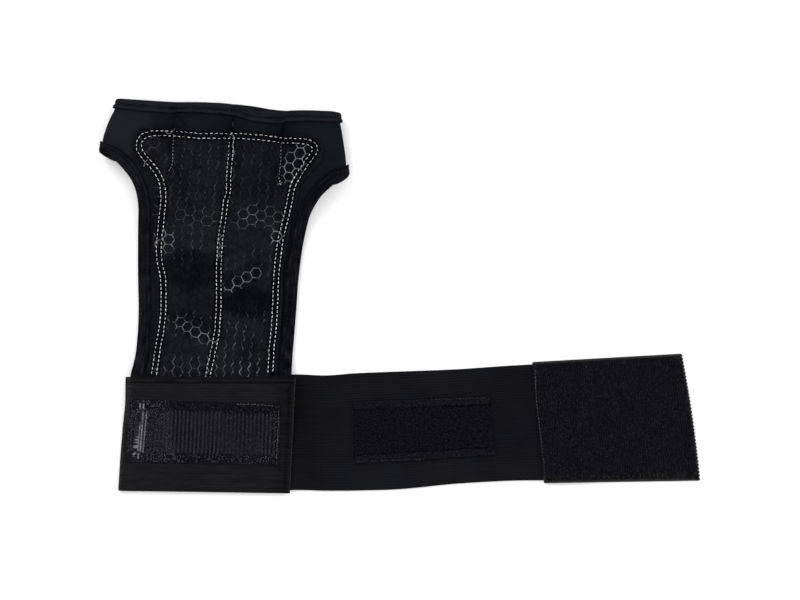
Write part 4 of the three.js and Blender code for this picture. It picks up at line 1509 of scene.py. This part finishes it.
# a short bent strand: a small closed tube carried along a path by extruding its end
def bentSeed(name, path, radius, sides):
    bm = bmesh.new()
    path = [Vector(point) for point in path]
    first = path[1] - path[0]
    upright = first.to_track_quat("Z", "Y").to_matrix().to_4x4()
    bmesh.ops.create_cone(
        bm, cap_ends=True, segments=sides, radius1=radius, radius2=radius, depth=first.length,
        matrix=Matrix.Translation((path[0] + path[1]) / 2) @ upright,
    )
    bm.faces.ensure_lookup_table()
    end = min(bm.faces, key=lambda face: (face.calc_center_median() - path[1]).length)
    heading = first.normalized()
    for here, there in zip(path[1:], path[2:]):
        end = bmesh.ops.extrude_discrete_faces(bm, faces=[end])["faces"][0]
        turn = heading.rotation_difference((there - here).normalized()).to_matrix()
        bmesh.ops.rotate(bm, verts=end.verts, cent=here, matrix=turn)
        bmesh.ops.translate(bm, verts=end.verts, vec=there - here)
        heading = (there - here).normalized()
    return meshFrom(name, bm)


# rows of strands inside a tape's border, each with a chance place and heading
def makeStrands(name, tape, finish, path, radius, sides, stagger, jitter, spin, tilt, tones):
    seed = bentSeed(name + "Seed", path, radius, sides)
    shape = tapes[tape.name]
    width, height = tapeSize(shape)
    dice = random.Random(9)
    top = Surface(tape)
    borderTop, borderSide = shape["border"]
    columnPitch, rowPitch = shape["rows"]
    columns = int((width - 2 * borderSide) / columnPitch)
    rows = int((height - 2 * borderTop) / rowPitch)
    turns = []
    for i in range(columns + 1):
        for j in range(rows + 1):
            inRow = stagger * (1 if j % 2 else -1) + dice.uniform(-jitter, jitter)
            u = (borderSide + i * columnPitch + inRow) / width
            v = (borderTop + j * rowPitch + dice.uniform(-jitter, jitter)) / height
            if (1 - v) * height < shape["plain"][1] or (1 - u) * width < shape["plain"][2]:
                continue
            x, y = tapePlan(shape, clamp(u), clamp(v))
            angle = (0 if i % 2 else math.pi) * (spin < everyWay) + dice.uniform(-spin, spin)
            lean = Vector((dice.uniform(-tilt, tilt), dice.uniform(-tilt, tilt), 1)).normalized()
            way = Vector((math.sin(angle), math.cos(angle), 0))
            size = (1, 1, dice.uniform(*strandHeights))
            turns.append(turnedTo(top.place(x, y, -strandSink), way, lean, size))
    bm = copyShape(seed, turns)
    shadeLayer = bm.verts.layers.float.new("shade")
    perStrand = len(seed.vertices)
    tone = 0.0
    for i, vert in enumerate(bm.verts):
        if i % perStrand == 0:
            x, y = vert.co.x / mm, vert.co.y / mm
            tone = clamp(dice.uniform(*tones) + spotSum(shape["strandTones"], x, y))
        vert[shadeLayer] = tone
    return makePiece(name, bm, None, shape["slot"], finish)


# a strand's path from its foot, its radius and sides; how far rows are shifted to either side
# in turn; how far a strand may be off its place, turn from its column's heading and lean; the
# range of its shades
strandKinds = {
    "patchHooks": {
        "tape": hookPatch, "finish": "hook", "radius": 0.2, "sides": 4,
        "path": [(-0.3, 0, 0), (-0.3, 0, 0.4), (-0.1, 0, 0.6), (0.3, 0, 0.58), (0.45, 0, 0.3)],
        "stagger": 0.26, "jitter": 0.05, "spin": 0.25, "tilt": 0.08, "tones": (0.25, 0.95),
    },
    "tabHooks": {
        "tape": endTab, "finish": "tabHook", "radius": 0.19, "sides": 3,
        "path": [(-0.4, 0, 0), (-0.34, 0, 0.34), (0.05, 0, 0.52), (0.46, 0, 0.34)],
        "stagger": 0.0, "jitter": 0.3, "spin": 0.6, "tilt": 0.25, "tones": (-0.1, 1.1),
    },
    "pileLoops": {
        "tape": loopPatch, "finish": "pile", "radius": 0.11, "sides": 3,
        "path": [(-0.5, 0, 0), (-0.48, 0.1, 0.4), (-0.1, 0.2, 0.62), (0.35, 0, 0.5), (0.5, -0.1, 0)],
        "stagger": 0.0, "jitter": 0.5, "spin": 3.2, "tilt": 0.5, "tones": (0.25, 0.95),
    },
}
strandHeights = (0.8, 1.15)
strandSink = 0.1
everyWay = 3  # with a spin over this, in radians, columns don't face alternate ways
strands = {name: makeStrands(name, **kind) for name, kind in strandKinds.items()}
print("hooks and loops", [len(piece.data.polygons) for piece in strands.values()])


# stitches
def stitchSeed():
    bm = bmesh.new()
    bmesh.ops.create_uvsphere(bm, u_segments=6, v_segments=5, radius=0.5)
    bmesh.ops.rotate(bm, verts=bm.verts, matrix=Matrix.Rotation(math.radians(90), 3, "Y"))
    return meshFrom("stitchSeed", bm)


# stitches along runs of (place, normal) pairs; grow is their size at a run's start and end
def sewRuns(name, runs, finish, slot, size, wobble=0.12, seed=1, grow=(1, 1), pitch=None):
    dice = random.Random(seed)
    length, width, height = size
    turns = []
    for run in runs:
        for i, ((a, normalA), (b, _)) in enumerate(zip(run, run[1:])):
            scale = lerp(*grow, i / len(run)) * (1 - spotSum(sewing["fine"], a.x, a.y))
            scale *= dice.uniform(*sewing["widths"])
            way = b - a
            aside = normalA.cross(way).normalized() * dice.uniform(-wobble, wobble)
            way = way + normalA.cross(way) * dice.uniform(-sewing["skew"], sewing["skew"])
            stretch = length * dice.uniform(*sewing["lengths"])
            if pitch:
                stretch *= clamp(way.length / pitch, 1, sewing["longest"])
            bead = (stretch, width * scale, height * scale)
            turns.append(turnedTo((a + b) / 2 + aside, way, normalA, bead))
    bm = copyShape(stitchBead, turns)
    return makePiece(name, bm, None, slot, finish)


# a run in the plan laid on a surface, with stops a stitch apart
def laidRun(points, surface, pitch, lift, across=1.0):
    run = []
    for x, y in runThrough(points, pitch, across):
        place = surface.place(x, y, lift)
        run.append((place, (surface.place(x, y, lift + 1) - place).normalized()))
    return run


# every so far along a run of places in space
def spacedRun(run, pitch, keep=lambda place: True):
    spaced, walked = [run[0]], 0.0
    for (a, _), (b, normal) in zip(run, run[1:]):
        walked += (b - a).length
        if walked >= pitch:
            spaced.append((b, normal))
            walked -= pitch
    return [stop for stop in spaced if keep(stop[0])]


stitchBead = stitchSeed()
padStitches = sewRuns(
    "padStitches",
    [
        laidRun(seamRuns[name], padTop, sewing["pitch"], lift=0.26, across=sewing["acrossPitch"])
        for name in sewing["bright"]
    ],
    "whiteThread", "grip_pad", sewing["stitch"], seed=1, pitch=sewing["pitch"],
)
seamStitches = sewRuns(
    "seamStitches",
    [laidRun(seamRuns[name], padTop, sewing["seamPitch"], lift=0.25) for name in ("left", "right")],
    "seamThread", "grip_pad", sewing["seamStitch"], seed=5, grow=(0.8, 1.5),
)


def thread(points):
    return laidRun(points, threadGround, sewing["threadPitch"], lift=0.2)


# the black seams between the finger loops, from the mouth down to the pad
def bandSeam(top, bottom):
    points = []
    for row in steps(0.12, 0.8, 8):
        share = lerp(top, bottom, row)
        leftX, leftY, rightX, rightY, *_ = band(row)
        points.append((lerp(leftX, rightX, share), lerp(leftY, rightY, share)))
    return points


threadGround = Surface(gripPad, palmPanel, mouthBinding)
bandSeams = [
    laidRun(bandSeam(*shares), threadGround, sewing["bandPitch"], lift=0.1)
    for shares in hand["seamShares"]
]
bandStitches = sewRuns(
    "bandStitches", bandSeams, "blackThread", "neoprene", sewing["seamStitch"], wobble=0.1, seed=9,
)
looseThreads = sewRuns(
    "looseThreads", [thread(points) for points in sewing["loose"]],
    "seamThread", "grip_pad", sewing["threadBead"], wobble=0.04, seed=6,
)
whiskers = sewRuns(
    "whiskers", [thread(points) for points in sewing["whiskers"]],
    "dullThread", "grip_pad", sewing["threadBead"], wobble=0.04, seed=10,
)
edgingStitches = sewRuns(
    "edgingStitches",
    [
        spacedRun(mouthSewn, edging["stitchPitch"]),
        spacedRun(sideSewn, edging["stitchPitch"], lambda place: place.y > -52),
    ],
    "blackThread", "edging", edging["stitchSize"], wobble=0.08, seed=2,
)


# lines of sewing on the wrap and its tapes, in the plan
def boxRun(name, inset):
    shape = tapes[name]
    width, height = tapeSize(shape)
    a, b = inset / width, inset / height
    corners = [(a, b), (1 - a, b), (1 - a, 1 - b), (a, 1 - b), (a, b)]
    points = []
    for (ua, va), (ub, vb) in zip(corners, corners[1:]):
        points += [tapePlan(shape, lerp(ua, ub, t), lerp(va, vb, t)) for t in steps(0, 1, 12)[:-1]]
    return points + [tapePlan(shape, *corners[-1])]


wrapSewing = {
    "pitch": 2.1,
    "palePitch": 1.9,
    "endPitch": 1.7,
    "size": (1.35, 0.42, 0.34),
    "paleSize": (1.5, 0.46, 0.36),
    "tabSize": (1.5, 0.4, 0.34),
    "loopSize": (1.6, 0.3, 0.3),
    "insets": {"hookPatch": 1.7, "loopPatch": 1.5, "endTab": 1.6},
    "flapTop": [(-150.5, -48.4), (-120.0, -48.5), (-90.0, -48.6), (-61.0, -48.7)],
    "flapHem": [(-60.9, -48.0), (-61.6, -66.0), (-62.6, -84.0), (-63.8, -106.0)],
    "tabEnd": [(75.2, -40.5), (75.8, -58.0), (77.1, -68.7), (79.3, -86.0), (80.9, -101.5)],
    "patchEnd": [(-67.2, -63.5), (-67.9, -77.0), (-68.6, -91.5)],
    "patchTop": [(-91.0, -59.9), (-80.0, -60.3), (-68.5, -60.8)],
    "loopTop": [(17.0, -57.7), (34.0, -57.1), (49.0, -56.6)],
    "loopFoot": [(-24.4, -92.0), (-12.0, -91.6), (15.0, -90.7)],
}
hookTop, loopTop, tabTop = Surface(hookPatch), Surface(loopPatch), Surface(endTab)


def wrapRun(name, surface, pitch="palePitch", lift=0.1):
    return laidRun(wrapSewing[name], surface, wrapSewing[pitch], lift)


darkLines = [wrapRun(name, wrapTop, "pitch", lift=0.05) for name in ("flapTop", "flapHem")]
for (name, inset), surface in zip(wrapSewing["insets"].items(), (hookTop, loopTop, tabTop)):
    darkLines.append(laidRun(boxRun(name, inset), surface, wrapSewing["pitch"], lift=0.08))
wrapStitches = sewRuns("wrapStitches", darkLines, "blackThread", "elastic", wrapSewing["size"], seed=3)
paleStitches = sewRuns(
    "paleStitches", [wrapRun("patchEnd", hookTop, "endPitch"), wrapRun("patchTop", hookTop)],
    "dullThread", "hook_tape", wrapSewing["paleSize"], wobble=0.18, seed=4,
)
tabStitches = sewRuns(
    "tabStitches", [wrapRun("tabEnd", tabTop)],
    "dullThread", "hook_tape", wrapSewing["tabSize"], seed=8, grow=(1.2, 0.3),
)
loopStitches = sewRuns(
    "loopStitches", [wrapRun(name, loopTop) for name in ("loopTop", "loopFoot")],
    "loopThread", "loop_tape", wrapSewing["loopSize"], wobble=0.1, seed=7,
)
print("stitches", len(padStitches.data.polygons) + len(edgingStitches.data.polygons))


# what each sheet was cut to, in metres
cutSizes = [  # piece, flat size, flat area, how it lies, what carries it, what is on it
    (palmPanel, (0.142, 0.166), 0.01685, "laid", [fingerStrip, wristWrap], [bandStitches]),
    (gripPad, (0.107, 0.147), 0.01197, "laid", [palmPanel],
     [gripLines, padStitches, seamStitches, looseThreads, whiskers]),
    (fingerStrip, (0.1475, 0.0345), 0.00505, "laid", [], []),
    (mouthBinding, (0.266, 0.0158), 0.0042, "folded", [palmPanel, fingerStrip], [edgingStitches]),
    (sideBinding, (0.474, 0.0158), 0.00749, "folded", [palmPanel, fingerStrip], []),
    (wristWrap, (0.361, 0.0642), 0.02313, "folded", [], [wrapStitches]),
    (hookPatch, (0.0845, 0.0352), 0.00294, "laid", [wristWrap], [strands["patchHooks"], paleStitches]),
    (loopPatch, (0.077, 0.0342), 0.00258, "laid", [wristWrap], [strands["pileLoops"], loopStitches]),
    (endTab, (0.0864, 0.0702), 0.00595, "laid", [wristWrap], [strands["tabHooks"], tabStitches]),
]
for piece, flat, area, held, carriers, ornaments in cutSizes:
    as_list(carriers)
    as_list(ornaments)
